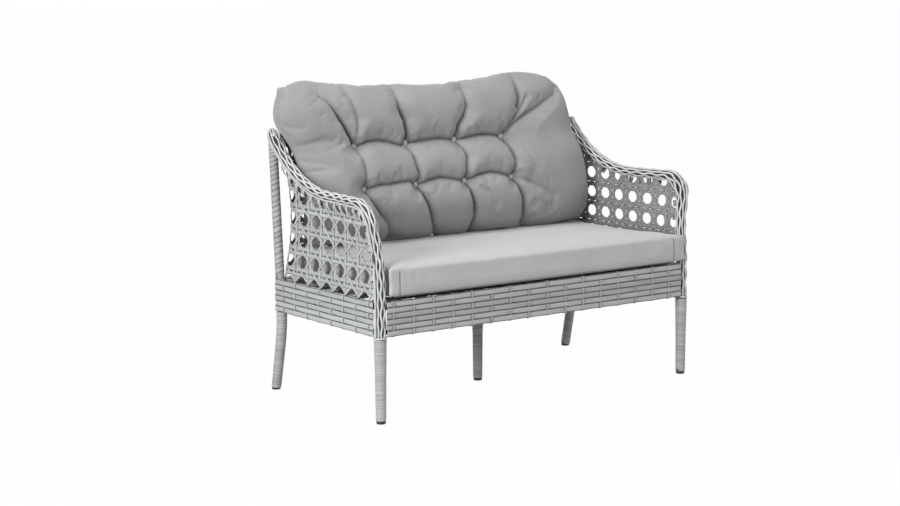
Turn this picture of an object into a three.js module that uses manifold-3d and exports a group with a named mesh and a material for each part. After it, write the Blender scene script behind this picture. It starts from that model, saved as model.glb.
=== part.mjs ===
// Two-seat garden sofa: a bent aluminium tube frame wrapped and woven in flat synthetic cane,
// with open six-way cane nets in the sides and back, a loose foam seat cushion and a loose
// tufted back cushion. Millimetres, +X to the viewer's right, -Y to the front, +Z up.
import * as THREE from 'three';
import { mergeVertices } from 'three/addons/utils/BufferGeometryUtils.js';
import Module from 'manifold-3d';

const wasm = await Module();
wasm.setup();

const { PI, cos, sin, sqrt, abs, min, max, exp } = Math;
const lerp = THREE.MathUtils.lerp;

// Frame: leg centre lines, the joint on the front legs and the bend points of the tubes, in the
// side plane (y, z)
const LEG_X = 605;
const FRONT_LEG_Y = -307;
const BACK_FOOT_Y = 305;
const CENTRE_LEG_Y = 19;
const LEG_TOP = 262;
const ARM_Z = 660;
const TOP_RAIL_Y = 298;
const TOP_RAIL_Z = 814;
const POST_KNEE = { y: 257.6, z: 220.5, bend: 500 };
const ARM_LEAN = { y: FRONT_LEG_Y, z: 410, bend: 300 };
const ARM_CORNER = { y: -286, z: ARM_Z, bend: 75 };
const ARM_SWEEP = { y: 156, z: ARM_Z, bend: 415 };
const ARM_END = { y: 281, z: 814.4 };

// Tubes, the braid round them, the clearance between pieces and the sides of a round section
const TUBE_R = 12.5;
const RAIL_R = 10;
const LOW_RAIL_R = 8;
const BRAID_R = 19.5;
const GAP = 0.3;
const SIDES = 12;

// Apron: six woven rows between the lower rail and the seat rail
const APRON_BOTTOM = 266;
const APRON_ROWS = 6;
const ROW_HEIGHT = 17.4;
const APRON_TOP = APRON_BOTTOM + APRON_ROWS * ROW_HEIGHT;
const SEAT_RAIL_Z = 355;
const LOW_RAIL_Z = 279;

// Cane net: octagon pitch, first row line, strand thickness and the pinched corners
const NET_THICK = 4;
const NET_BOTTOM = APRON_TOP + GAP + 3.5;
const NET_TOP = TOP_RAIL_Z - BRAID_R - GAP;
const FIRST_ROW_LINE = 406.5;
const ROW_PITCH = 67.3;
const OCTAGON_R = 19.5;
const STRAND = 9;
const CORNER_COLUMNS = 8;
const BACK_COLUMNS = 13;
const BACK_NET_HALF = 462;
const FIRST_COLUMN_Y = -202;

// Deck and cushions
const DECK_BOTTOM = SEAT_RAIL_Z + RAIL_R + GAP;
const DECK_THICK = 6;
const SEAT = { halfX: 578, front: -340, back: 242, bottom: 371.6, thick: 90, crown: 7 };
const BACK = { lowHalf: 574, lowShift: -5, topHalf: 605, topShift: -38, bottom: 467, top: 986 };
const BUTTON_R = 10;

// Legs: outer radius of the wrapped leg at the foot and at the top
const CAP_HEIGHT = 10;
const FOOT_FLOOR = 4;
const COLLAR_HEIGHT = 6;
const FRONT_WRAP = { foot: 16, top: 19.5 };
const BACK_WRAP = { foot: 16, top: 17.5 };

const group = new THREE.Group();
const vec = (x, y, z) => new THREE.Vector3(x, y, z);

// Surface of each kind of material
const FINISHES = {
  cane: { color: 0xaeb1ad, roughness: 0.62, metalness: 0 },
  braid: { color: 0xbcbfbb, roughness: 0.6, metalness: 0 },
  metal: { color: 0x8d908e, roughness: 0.45, metalness: 0.85 },
  plastic: { color: 0x1b1b1c, roughness: 0.5, metalness: 0 },
  cushion: { color: 0x9a9a99, roughness: 0.92, metalness: 0 },
};

// Names a piece, gives it a finish of its own and puts it in the sofa.
function addPiece(name, geometry, finish) {
  const mesh = new THREE.Mesh(geometry, new THREE.MeshStandardMaterial(FINISHES[finish]));
  mesh.name = name;
  group.add(mesh);
}

function indexed(positions, triangles) {
  const geometry = new THREE.BufferGeometry();
  geometry.setAttribute('position', new THREE.Float32BufferAttribute(positions, 3));
  geometry.setIndex(triangles);
  return geometry;
}

// The same piece on the other side of the sofa, with its faces turned to point out again.
function mirrored(geometry) {
  const copy = welded(geometry);
  copy.scale(-1, 1, 1);
  const index = Array.from(copy.index.array);
  for (let i = 0; i < index.length; i += 3) {
    [index[i], index[i + 1]] = [index[i + 1], index[i]];
  }
  copy.setIndex(index);
  return copy;
}

function welded(geometry) {
  const copy = geometry.clone();
  copy.deleteAttribute('normal');
  copy.deleteAttribute('uv');
  return mergeVertices(copy, 1e-4);
}

function toSolid(geometry) {
  const merged = welded(geometry);
  const mesh = new wasm.Mesh({
    numProp: 3,
    vertProperties: new Float32Array(merged.attributes.position.array),
    triVerts: new Uint32Array(merged.index.array),
  });
  return new wasm.Manifold(mesh);
}

function fromSolid(solid) {
  const mesh = solid.getMesh();
  return indexed(Array.from(mesh.vertProperties), Array.from(mesh.triVerts));
}

// Cuts every cutter out of a piece.
function cut(geometry, cutters) {
  let solid = toSolid(geometry);
  for (const cutter of cutters) {
    solid = solid.subtract(toSolid(cutter));
  }
  return fromSolid(solid);
}

// Closed solid through rings of equal point count; the two end rings are capped.
function loft(rings, cap = THREE.ShapeUtils.triangulateShape(flatten(rings[0]), [])) {
  const count = rings[0].length;
  const positions = rings.flat().flatMap((p) => [p.x, p.y, p.z]);
  const triangles = [];
  for (let k = 0; k < rings.length - 1; k++) {
    for (let i = 0; i < count; i++) {
      const j = (i + 1) % count;
      const a = k * count + i;
      const b = k * count + j;
      triangles.push(a, b, b + count, a, b + count, a + count);
    }
  }
  const last = (rings.length - 1) * count;
  for (const [a, b, c] of cap) {
    triangles.push(c, b, a, last + a, last + b, last + c);
  }
  return orient(indexed(positions, triangles));
}

// A ring's points in its own plane, which the end caps are divided in.
function flatten(ring) {
  const origin = ring[0];
  const across = ring[1].clone().sub(origin).normalize();
  const far = ring[Math.floor(ring.length / 2)].clone().sub(origin);
  const normal = across.clone().cross(far).normalize();
  const up = normal.clone().cross(across);
  return ring.map((p) => {
    const d = p.clone().sub(origin);
    return new THREE.Vector2(d.dot(across), d.dot(up));
  });
}

// Turns the faces of a closed piece outwards if its volume comes out negative.
function orient(geometry) {
  const p = geometry.attributes.position;
  const index = Array.from(geometry.index.array);
  const [a, b, c] = [vec(0, 0, 0), vec(0, 0, 0), vec(0, 0, 0)];
  let volume = 0;
  for (let i = 0; i < index.length; i += 3) {
    a.fromBufferAttribute(p, index[i]);
    b.fromBufferAttribute(p, index[i + 1]);
    c.fromBufferAttribute(p, index[i + 2]);
    volume += a.dot(b.cross(c));
  }
  if (volume < 0) {
    geometry.setIndex(index.reverse());
  }
  return geometry;
}

// Stations along bend points in the side plane x = const, as a tube bender makes them: straight
// runs and an arc of the given radius at each inner point.
function bentPath(x, points, arcStep = 15) {
  const at = (p) => vec(x, p.y, p.z);
  const stations = [{ point: at(points[0]), along: null }];
  for (let k = 1; k < points.length - 1; k++) {
    const before = at(points[k]).sub(at(points[k - 1])).normalize();
    const after = at(points[k + 1]).sub(at(points[k])).normalize();
    const turn = before.angleTo(after);
    const reach = points[k].bend * Math.tan(turn / 2);
    const start = at(points[k]).addScaledVector(before, -reach);
    const axis = before.clone().cross(after).normalize();
    const inward = axis.clone().cross(before);
    const centre = start.clone().addScaledVector(inward, points[k].bend);
    const steps = max(2, Math.ceil(turn / THREE.MathUtils.degToRad(arcStep)));
    for (let i = 0; i <= steps; i++) {
      const angle = (turn * i) / steps;
      const spoke = start.clone().sub(centre).applyAxisAngle(axis, angle);
      const along = before.clone().applyAxisAngle(axis, angle);
      stations.push({ point: centre.clone().add(spoke), along });
    }
  }
  stations.push({ point: at(points[points.length - 1]), along: null });
  const last = stations.length - 1;
  stations[0].along = stations[1].point.clone().sub(stations[0].point).normalize();
  stations[last].along = stations[last].point.clone().sub(stations[last - 1].point).normalize();
  return stations;
}

// The stretch of a path between two heights, cut level at both ends.
function levelStretch(stations, low, high) {
  const inside = stations.filter((s) => s.point.z > low + 1 && s.point.z < high - 1);
  return [levelCut(stations, low), ...inside, levelCut(stations, high)];
}

// Station of a level cut; a raked tube's section is longer there by its stretch.
function levelCut(stations, z) {
  let k = 0;
  while (k < stations.length - 2 && stations[k + 1].point.z < z) {
    k++;
  }
  const a = stations[k].point;
  const b = stations[k + 1].point;
  return {
    point: a.clone().lerp(b, (z - a.z) / (b.z - a.z)),
    along: vec(0, 0, 1),
    stretch: a.distanceTo(b) / (b.z - a.z),
  };
}

const pointAtHeight = (stations, z) => levelCut(stations, z).point;

// Ring of a round section across a path in the side plane.
function ring({ point, along, stretch = 1 }, radius, sides = SIDES) {
  const across = vec(1, 0, 0);
  const up = along.clone().cross(across).normalize();
  return Array.from({ length: sides }, (_, i) => {
    const angle = (2 * PI * (i + 0.5)) / sides;
    return point.clone()
      .addScaledVector(across, radius * cos(angle))
      .addScaledVector(up, radius * stretch * sin(angle));
  });
}

const radiusBy = (stations, foot, top) => {
  const low = stations[0].point.z;
  const high = stations[stations.length - 1].point.z;
  return (s) => lerp(foot, top, (s.point.z - low) / (high - low));
};

// Solid tube, or a sleeve when an inner radius is given. Radii are functions of the station.
function tube(stations, outer, inner = null) {
  const body = loft(stations.map((s) => ring(s, outer(s))));
  if (!inner) {
    return body;
  }
  return cut(body, [loft(lengthened(stations).map((s) => ring(s, inner(s))))]);
}

// The same path with both ends carried on a little, for a cutter that runs right through.
function lengthened(stations) {
  const beyond = (end, next) => ({
    ...end,
    point: end.point.clone().addScaledVector(end.point.clone().sub(next.point).normalize(), 2),
  });
  const last = stations.length - 1;
  return [
    beyond(stations[0], stations[1]),
    ...stations.slice(1, last),
    beyond(stations[last], stations[last - 1]),
  ];
}

const constant = (value) => () => value;

// Straight round bar between two points.
function bar(from, to, radius, sides = SIDES) {
  const length = from.distanceTo(to);
  const geometry = new THREE.CylinderGeometry(radius, radius, length, sides);
  geometry.rotateY(PI / sides);
  const turn = new THREE.Quaternion().setFromUnitVectors(
    vec(0, 1, 0),
    to.clone().sub(from).normalize(),
  );
  geometry.applyQuaternion(turn);
  const middle = from.clone().add(to).multiplyScalar(0.5);
  geometry.translate(middle.x, middle.y, middle.z);
  return geometry;
}

// The arms spread at their front corners: how far outwards at a place in the side plane.
const SPREAD = { most: 19, low: 480, high: 650, front: -250, back: -40 };
function spread(y, z) {
  const climb = THREE.MathUtils.smoothstep(z, SPREAD.low, SPREAD.high);
  const fade = 1 - THREE.MathUtils.smoothstep(y, SPREAD.front, SPREAD.back);
  return SPREAD.most * climb * fade;
}

// Left-hand frame paths; the right-hand pieces are their mirror images.
const hoopPath = bentPath(-LEG_X, [
  { y: FRONT_LEG_Y, z: LEG_TOP + GAP },
  ARM_LEAN,
  ARM_CORNER,
  ARM_SWEEP,
  ARM_END,
]);
for (const { point } of hoopPath) {
  point.x -= spread(point.y, point.z);
}
const postPath = bentPath(-LEG_X, [
  { y: BACK_FOOT_Y, z: 0 },
  POST_KNEE,
  { y: TOP_RAIL_Y, z: TOP_RAIL_Z },
], 4);
const postY = (z) => pointAtHeight(postPath, z).y;

const BACK_RAIL_Y = postY(SEAT_RAIL_Z);
const BACK_LOW_RAIL_Y = postY(LOW_RAIL_Z);
const RAIL_X = LEG_X + TUBE_R - RAIL_R;
const FRONT_RAIL_Y = FRONT_LEG_Y - TUBE_R + RAIL_R;
const LOW_RAIL_X = LEG_X + TUBE_R - LOW_RAIL_R;
const FRONT_LOW_RAIL_Y = FRONT_LEG_Y - TUBE_R + LOW_RAIL_R;

// Pairs of pieces on the left and right.
function addPair(name, geometry, finish) {
  addPiece(`${name}_left`, geometry, finish);
  addPiece(`${name}_right`, mirrored(geometry), finish);
}

function bothSides(geometry) {
  return [geometry, mirrored(geometry)];
}

// Frame tubes: the arm hoop ends against the back post, and every rail is coped to its tube.
const postTube = (radius) => {
  const stations = levelStretch(postPath, FOOT_FLOOR, TOP_RAIL_Z);
  return tube(stations, constant(radius));
};
const hoopTube = (radius) => tube(hoopPath, constant(radius));

const postClearance = bothSides(postTube(TUBE_R + GAP));
const hoopClearance = bothSides(hoopTube(TUBE_R + GAP));

addPair('back_post', postTube(TUBE_R), 'metal');

const topRail = (radius, half) => bar(
  vec(-half, TOP_RAIL_Y, TOP_RAIL_Z),
  vec(half, TOP_RAIL_Y, TOP_RAIL_Z),
  radius,
);
const topRailClearance = topRail(TUBE_R + GAP, LEG_X + TUBE_R + GAP);
addPair('arm_hoop', cut(hoopTube(TUBE_R), [postClearance[0], topRailClearance]), 'metal');
addPiece('back_top_rail', cut(topRail(TUBE_R, LEG_X), postClearance), 'metal');

const frontRail = (radius, half) => bar(
  vec(-half, FRONT_RAIL_Y, SEAT_RAIL_Z),
  vec(half, FRONT_RAIL_Y, SEAT_RAIL_Z),
  radius,
);
const backRail = (radius, half) => bar(
  vec(-half, BACK_RAIL_Y, SEAT_RAIL_Z),
  vec(half, BACK_RAIL_Y, SEAT_RAIL_Z),
  radius,
);
const sideRail = (radius) => bar(
  vec(-RAIL_X, FRONT_LEG_Y, SEAT_RAIL_Z),
  vec(-RAIL_X, BACK_RAIL_Y, SEAT_RAIL_Z),
  radius,
);
const frontLowRail = (radius) => bar(
  vec(-LEG_X, FRONT_LOW_RAIL_Y, LOW_RAIL_Z),
  vec(LEG_X, FRONT_LOW_RAIL_Y, LOW_RAIL_Z),
  radius,
);
const backLowRail = (radius) => bar(
  vec(-LEG_X, BACK_LOW_RAIL_Y, LOW_RAIL_Z),
  vec(LEG_X, BACK_LOW_RAIL_Y, LOW_RAIL_Z),
  radius,
);
const sideLowRail = (radius) => bar(
  vec(-LOW_RAIL_X, FRONT_LEG_Y, LOW_RAIL_Z),
  vec(-LOW_RAIL_X, BACK_LOW_RAIL_Y, LOW_RAIL_Z),
  radius,
);

addPiece('seat_rail_front', cut(frontRail(RAIL_R, LEG_X), hoopClearance), 'metal');
addPiece('seat_rail_back', cut(backRail(RAIL_R, LEG_X), postClearance), 'metal');
addPair('seat_rail', cut(sideRail(RAIL_R), [hoopClearance[0], postClearance[0]]), 'metal');
addPiece('apron_rail_front', cut(frontLowRail(LOW_RAIL_R), hoopClearance), 'metal');
addPiece('apron_rail_back', cut(backLowRail(LOW_RAIL_R), postClearance), 'metal');
addPair('apron_rail', cut(sideLowRail(LOW_RAIL_R), [hoopClearance[0], postClearance[0]]), 'metal');

// Middle of the seat: a rail from front to back that carries the deck and stands on a fifth leg
const centreRail = (radius) => bar(
  vec(0, FRONT_RAIL_Y, SEAT_RAIL_Z),
  vec(0, BACK_RAIL_Y, SEAT_RAIL_Z),
  radius,
);
addPiece('centre_rail', cut(centreRail(RAIL_R), [
  frontRail(RAIL_R + GAP, LEG_X),
  backRail(RAIL_R + GAP, LEG_X),
]), 'metal');

const uprightAt = (x, y, low, high) => [
  { point: vec(x, y, low), along: vec(0, 0, 1) },
  { point: vec(x, y, high), along: vec(0, 0, 1) },
];
const centreLegPath = uprightAt(0, CENTRE_LEG_Y, FOOT_FLOOR, SEAT_RAIL_Z);
const centreLeg = tube(centreLegPath, constant(TUBE_R));
addPiece('centre_leg', cut(centreLeg, [centreRail(RAIL_R + GAP)]), 'metal');

// Front legs: tapered tubes under the arm hoops
const FRONT_LEG = { foot: 11.5, top: 14.5 };
const frontLegPath = uprightAt(-LEG_X, FRONT_LEG_Y, FOOT_FLOOR, LEG_TOP);
const frontTaper = radiusBy(frontLegPath, FRONT_LEG.foot, FRONT_LEG.top);
addPair('front_leg', tube(frontLegPath, frontTaper), 'metal');

// Feet: black plastic cups with a flat sole, following the rake of the leg they hold
const FOOT_R = 14.4;
const SOLE_ROUND = 2;
function footCap(stations, legRadius) {
  const sole = stations[0].point.clone().setZ(0);
  const level = vec(0, 0, 1);
  const lift = (z) => levelCut(stations, z);
  const body = loft([
    ring({ point: sole, along: level }, FOOT_R - SOLE_ROUND),
    ring(lift(SOLE_ROUND), FOOT_R),
    ring(lift(CAP_HEIGHT), FOOT_R),
  ]);
  const socket = loft([
    ring(lift(FOOT_FLOOR - GAP), legRadius + GAP),
    ring(lift(CAP_HEIGHT + 1), legRadius + GAP),
  ]);
  return cut(body, [socket]);
}
const uprightFoot = (x, y) => uprightAt(x, y, 0, 40);
addPair('foot_cap_front', footCap(uprightFoot(-LEG_X, FRONT_LEG_Y), FRONT_LEG.foot), 'plastic');
addPair('foot_cap_back', footCap(postPath, TUBE_R), 'plastic');
addPiece('foot_cap_centre', footCap(uprightFoot(0, CENTRE_LEG_Y), TUBE_R), 'plastic');

// Leg wraps: close turns of flat strip, thicker towards the seat
const WRAP_LOW = CAP_HEIGHT + GAP;
const WRAP_HIGH = LEG_TOP - COLLAR_HEIGHT - GAP;
const frontWrapPath = uprightAt(-LEG_X, FRONT_LEG_Y, WRAP_LOW, WRAP_HIGH);
addPair('leg_wrap_front', tube(
  frontWrapPath,
  radiusBy(frontWrapPath, FRONT_WRAP.foot, FRONT_WRAP.top),
  (s) => frontTaper(s) + GAP,
), 'cane');

const COLLAR_R = 21;
const collarPath = uprightAt(-LEG_X, FRONT_LEG_Y, WRAP_HIGH + GAP, LEG_TOP);
addPair('leg_collar', tube(
  collarPath,
  constant(COLLAR_R),
  constant(FRONT_LEG.top + GAP),
), 'braid');

const backWrapPath = levelStretch(postPath, WRAP_LOW, APRON_BOTTOM - GAP);
addPair('leg_wrap_back', tube(
  backWrapPath,
  radiusBy(backWrapPath, BACK_WRAP.foot, BACK_WRAP.top),
  constant(TUBE_R + GAP),
), 'cane');

const CENTRE_WRAP = [[WRAP_LOW, 15.5], [185, 17], [215, 20], [240, 21.5]];
const centreWrapPath = CENTRE_WRAP.map(([z]) => ({
  point: vec(0, CENTRE_LEG_Y, z),
  along: vec(0, 0, 1),
}));
const centreWrapRadius = (s) => CENTRE_WRAP.find(([z]) => z === s.point.z)[1];
addPiece('leg_wrap_centre', tube(
  centreWrapPath,
  centreWrapRadius,
  constant(TUBE_R + GAP),
), 'cane');

// Braids: a plaited sleeve from the collar up the front post and along the arm, and another
// along the top rail that closes over the heads of the back posts
const backBraid = (radius) => topRail(radius, LEG_X + radius);
addPiece('back_braid', cut(backBraid(BRAID_R), [
  topRailClearance,
  ...postClearance,
  ...hoopClearance,
]), 'braid');

const armBraid = tube(hoopPath, constant(BRAID_R), constant(TUBE_R + GAP));
addPair('arm_braid', cut(armBraid, [
  frontRail(RAIL_R + GAP, LEG_X),
  sideRail(RAIL_R + GAP),
  frontLowRail(LOW_RAIL_R + GAP),
  sideLowRail(LOW_RAIL_R + GAP),
  postClearance[0],
  backBraid(BRAID_R + GAP),
]), 'braid');

// Upper back posts: bound in slanting turns between the apron and the top rail's braid
const POST_WRAP_R = 14.8;
const postWrapPath = levelStretch(postPath, APRON_TOP + GAP, TOP_RAIL_Z);
const postWrap = tube(postWrapPath, constant(POST_WRAP_R), constant(TUBE_R + GAP));
addPair('post_wrap', cut(postWrap, [
  backBraid(BRAID_R + GAP),
  tube(hoopPath, constant(BRAID_R + GAP)),
]), 'cane');

// Apron: a woven wall in six bulging rows, folded in over the seat rail and under the lower rail
const WALL = 3.2;
const ROW_BULGE = 1.3;
const FOLD = 9;
function apronProfile(fold) {
  const outline = [];
  for (let row = 0; row < APRON_ROWS; row++) {
    const z = APRON_BOTTOM + row * ROW_HEIGHT;
    outline.push(
      [WALL, z],
      [WALL + ROW_BULGE, z + ROW_HEIGHT * 0.25],
      [WALL + ROW_BULGE, z + ROW_HEIGHT * 0.75],
    );
  }
  outline.push(
    [WALL, APRON_TOP],
    [-fold, APRON_TOP],
    [-fold, SEAT_RAIL_Z + RAIL_R + GAP],
    [0, SEAT_RAIL_Z + RAIL_R + GAP],
    [0, LOW_RAIL_Z - LOW_RAIL_R - GAP],
    [-fold, LOW_RAIL_Z - LOW_RAIL_R - GAP],
    [-fold, APRON_BOTTOM],
  );
  return outline;
}

// Apron along plan stations: a point on the inner face, the outward direction and the fold there.
function apron(stations) {
  return loft(stations.map(({ at, out, fold }) => apronProfile(fold).map(([reach, z]) => {
    return vec(at[0] + out[0] * reach, at[1] + out[1] * reach, z);
  })));
}

const SHELL_R = TUBE_R + 0.7;
const CORNER_Y = postY(SEAT_RAIL_Z) + 1.1;
const NO_FOLD = 0.5;
const frontApronY = FRONT_LEG_Y - TUBE_R - GAP;
const apronEnd = LEG_X - BRAID_R - GAP;
addPiece('apron_front', apron([-apronEnd, apronEnd].map((x) => ({
  at: [x, frontApronY],
  out: [0, -1],
  fold: FOLD,
}))), 'cane');

const CORNER_STEPS = 6;
const sideApron = [
  { at: [-LEG_X - SHELL_R, FRONT_LEG_Y + BRAID_R + GAP], out: [-1, 0], fold: FOLD },
  { at: [-LEG_X - SHELL_R, CORNER_Y - 20], out: [-1, 0], fold: FOLD },
  { at: [-LEG_X - SHELL_R, CORNER_Y - 16], out: [-1, 0], fold: NO_FOLD },
];
for (let i = 0; i <= CORNER_STEPS; i++) {
  const angle = (PI / 2) * (i / CORNER_STEPS);
  const out = [-cos(angle), sin(angle)];
  const at = [-LEG_X + SHELL_R * out[0], CORNER_Y + SHELL_R * out[1]];
  sideApron.push({ at, out, fold: NO_FOLD });
}
addPair('apron', apron(sideApron), 'cane');

const backApronY = CORNER_Y + SHELL_R;
const backApron = [[-LEG_X + GAP, NO_FOLD], [-LEG_X + 16, NO_FOLD], [-LEG_X + 20, FOLD]];
const backStations = [...backApron, ...backApron.map(([x, fold]) => [-x, fold]).reverse()];
addPiece('apron_back', apron(backStations.map(([x, fold]) => ({
  at: [x, backApronY],
  out: [0, 1],
  fold,
}))), 'cane');

// Flat sheet put together from outlines with holes; outlines that meet share their points. The
// first coordinate may be in columns of the given width, the second is in millimetres.
function flatSheet(width) {
  const points = [];
  const triangles = [];
  const seen = new Map();
  const number = ([s, z]) => {
    const key = `${s.toFixed(5)},${z.toFixed(3)}`;
    if (!seen.has(key)) {
      seen.set(key, points.length);
      points.push([s, z]);
    }
    return seen.get(key);
  };
  const fill = (outline, holes) => {
    const all = [...outline, ...holes.flat()];
    const vectors = (list) => list.map(([s, z]) => new THREE.Vector2(s * width, z));
    for (const face of THREE.ShapeUtils.triangulateShape(vectors(outline), holes.map(vectors))) {
      triangles.push(face.map((i) => number(all[i])));
    }
  };
  return { points, triangles, fill };
}

// A flat sheet put in place and given its thickness: both faces and a wall round every edge.
function thicken({ points, triangles }, place, thickness) {
  const step = 0.02;
  const offset = points.map(([s, z]) => {
    const here = place(s, z);
    const along = place(s + step, z).sub(here);
    const up = place(s, z + 1).sub(here);
    return { here, normal: along.cross(up).normalize() };
  });
  const face = (reach) => offset.map(({ here, normal }) => {
    return here.clone().addScaledVector(normal, reach);
  });
  const front = face(thickness / 2);
  const rear = face(-thickness / 2);
  const count = points.length;
  const edges = new Set(triangles.flatMap(([a, b, c]) => [`${a},${b}`, `${b},${c}`, `${c},${a}`]));
  const faces = [];
  for (const [a, b, c] of triangles) {
    faces.push(a, b, c, c + count, b + count, a + count);
    for (const [from, to] of [[a, b], [b, c], [c, a]]) {
      if (!edges.has(`${to},${from}`)) {
        faces.push(to, from, from + count, to, from + count, to + count);
      }
    }
  }
  return orient(indexed([...front, ...rear].flatMap((p) => [p.x, p.y, p.z]), faces));
}

// Keeps the part of a polygon that lies under a line through two points.
function under(polygon, [s0, z0], [s1, z1]) {
  const height = ([s, z]) => z - lerp(z0, z1, (s - s0) / (s1 - s0));
  const kept = [];
  polygon.forEach((p, i) => {
    const q = polygon[(i + 1) % polygon.length];
    const [hp, hq] = [height(p), height(q)];
    if (hp <= 0) {
      kept.push(p);
    }
    if (hp * hq < 0) {
      const t = hp / (hp - hq);
      kept.push([lerp(p[0], q[0], t), lerp(p[1], q[1], t)]);
    }
  });
  return kept;
}

// Six-way cane net on a grid of columns: octagons between the crossings, a row of triangles
// where the strands gather into the apron, and the top trimmed to the line it is bound to.
function caneNet({ columns, topEdge, place, width }) {
  const rowLines = [];
  for (let z = FIRST_ROW_LINE; z < NET_TOP; z += ROW_PITCH) {
    rowLines.push(z);
  }
  const { points, triangles, fill } = flatSheet(width);
  const edgeHeight = (edge) => edge[edge.length - 1][1];
  for (let k = 0; k < columns.length - 1; k++) {
    const [left, right] = [columns[k], columns[k + 1]];
    const edge = topEdge(left, right);
    const levels = (z) => rowLines.filter((line) => line < z - 4);
    const [atLeft, atRight] = [levels(edge[0][1]), levels(edgeHeight(edge))];
    const shared = min(atLeft.length, atRight.length);
    const centre = right - 0.5;
    const bite = OCTAGON_R / width;
    const triangle = [
      [centre - 0.8 * bite, NET_BOTTOM + 4],
      [centre + 0.8 * bite, NET_BOTTOM + 4],
      [centre, FIRST_ROW_LINE - 8],
    ];
    fill([
      [left, NET_BOTTOM],
      [right, NET_BOTTOM],
      [right, FIRST_ROW_LINE],
      [left, FIRST_ROW_LINE],
    ], [triangle]);
    const octagon = (row) => Array.from({ length: 8 }, (_, i) => {
      const angle = (2 * PI * (i + 0.5)) / 8;
      const middle = FIRST_ROW_LINE + ROW_PITCH * (row + 0.5);
      return [
        centre + (bite * cos(angle)) / cos(PI / 8),
        middle + (OCTAGON_R * sin(angle)) / cos(PI / 8),
      ];
    });
    for (let row = 0; row < shared - 1; row++) {
      const [low, high] = [rowLines[row], rowLines[row + 1]];
      fill([[left, low], [right, low], [right, high], [left, high]], [octagon(row)]);
    }
    const low = rowLines[shared - 1];
    const outline = [
      [left, low],
      [right, low],
      ...atRight.slice(shared).map((z) => [right, z]),
      ...[...edge].reverse(),
      ...atLeft.slice(shared).reverse().map((z) => [left, z]),
    ];
    const trim = [edge[0], edge[edge.length - 1]].map(([s, z]) => [s, z - STRAND]);
    const holes = [];
    for (let row = shared - 1; row < max(atLeft.length, atRight.length); row++) {
      const hole = under(octagon(row), trim[0], trim[1]);
      const heights = hole.map((p) => p[1]);
      if (hole.length > 2 && max(...heights) - min(...heights) > STRAND) {
        holes.push(hole);
      }
    }
    fill(outline, holes);
  }
  return thicken({ points, triangles }, place, NET_THICK);
}

// Nets stand on the apron and lean in to the arm and the top rail; at a back corner the net
// rounds the post on its inner side, most loosely at half height, like an hourglass.
const rise = (z) => (z - NET_BOTTOM) / (NET_TOP - NET_BOTTOM);
const netX = (z) => lerp(613, LEG_X, rise(z)) - 7 * sin(PI * rise(z));
const netY = (z) => lerp(276, TOP_RAIL_Y - 2, rise(z));
const cornerRadius = (z) => 70 + 52 * sin(PI * min(1, rise(z)));
const OUTER_REACH = BRAID_R + GAP;
const sweepCentreZ = ARM_Z + ARM_SWEEP.bend;
const sweepStart = hoopPath.find((s) => abs(s.point.z - ARM_Z) < 0.01 && s.point.y > -100).point.y;
const bendCentre = { y: -217, z: ARM_Z - ARM_CORNER.bend };
const bendInner = ARM_CORNER.bend - OUTER_REACH;

function underArm(y) {
  if (y < sweepStart) {
    return ARM_Z - OUTER_REACH;
  }
  const reach = ARM_SWEEP.bend + OUTER_REACH;
  return min(NET_TOP, sweepCentreZ - sqrt(reach ** 2 - (y - sweepStart) ** 2));
}

// Plan of the side net: column 0 stands at FIRST_COLUMN_Y, column 8 on the back.
function sidePlan(column, z) {
  const radius = cornerRadius(z);
  const straight = netY(z) - radius - FIRST_COLUMN_Y;
  const arc = (radius * PI) / 2;
  const rest = netX(z) - radius - BACK_NET_HALF;
  const distance = ((straight + arc + rest) * column) / CORNER_COLUMNS;
  if (distance <= straight) {
    return vec(-netX(z), FIRST_COLUMN_Y + distance, z);
  }
  if (distance <= straight + arc) {
    const angle = (distance - straight) / radius;
    return vec(
      -netX(z) + radius * (1 - cos(angle)),
      netY(z) - radius * (1 - sin(angle)),
      z,
    );
  }
  return vec(-netX(z) + radius + distance - straight - arc, netY(z), z);
}

const hoopFront = (z) => {
  return pointAtHeight(hoopPath, min(z, ARM_Z - ARM_CORNER.bend)).y + OUTER_REACH;
};
const WIDE_COLUMN = 1.2;
function sideNetPlace(column, z) {
  const y = lerp(FIRST_COLUMN_Y, hoopFront(z), -column / WIDE_COLUMN);
  const place = column < 0 ? vec(-netX(z), y, z) : sidePlan(column, z);
  place.x -= spread(place.y, z);
  return place;
}

function sideTopEdge(left, right) {
  if (left < 0) {
    const steps = 5;
    const arc = Array.from({ length: steps + 1 }, (_, i) => {
      const angle = (PI / 2) * (i / steps);
      const z = bendCentre.z + bendInner * sin(angle);
      const y = bendCentre.y - bendInner * cos(angle);
      return [-WIDE_COLUMN * (FIRST_COLUMN_Y - y) / (FIRST_COLUMN_Y - hoopFront(z)), z];
    });
    arc[0][0] = -WIDE_COLUMN;
    return [...arc, [0, ARM_Z - OUTER_REACH]];
  }
  const steps = 3;
  return Array.from({ length: steps + 1 }, (_, i) => {
    const column = lerp(left, right, i / steps);
    let z = ARM_Z;
    for (let pass = 0; pass < 12; pass++) {
      z = lerp(z, underArm(sidePlan(column, z).y), 0.7);
    }
    return [column, z];
  });
}

const NET_PITCH = (2 * BACK_NET_HALF) / BACK_COLUMNS;
const sideColumns = [-WIDE_COLUMN, ...Array.from({ length: CORNER_COLUMNS + 1 }, (_, i) => i)];
const sideNet = caneNet({
  columns: sideColumns,
  topEdge: sideTopEdge,
  place: sideNetPlace,
  width: NET_PITCH,
});
addPair('side_net', sideNet, 'cane');

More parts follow.
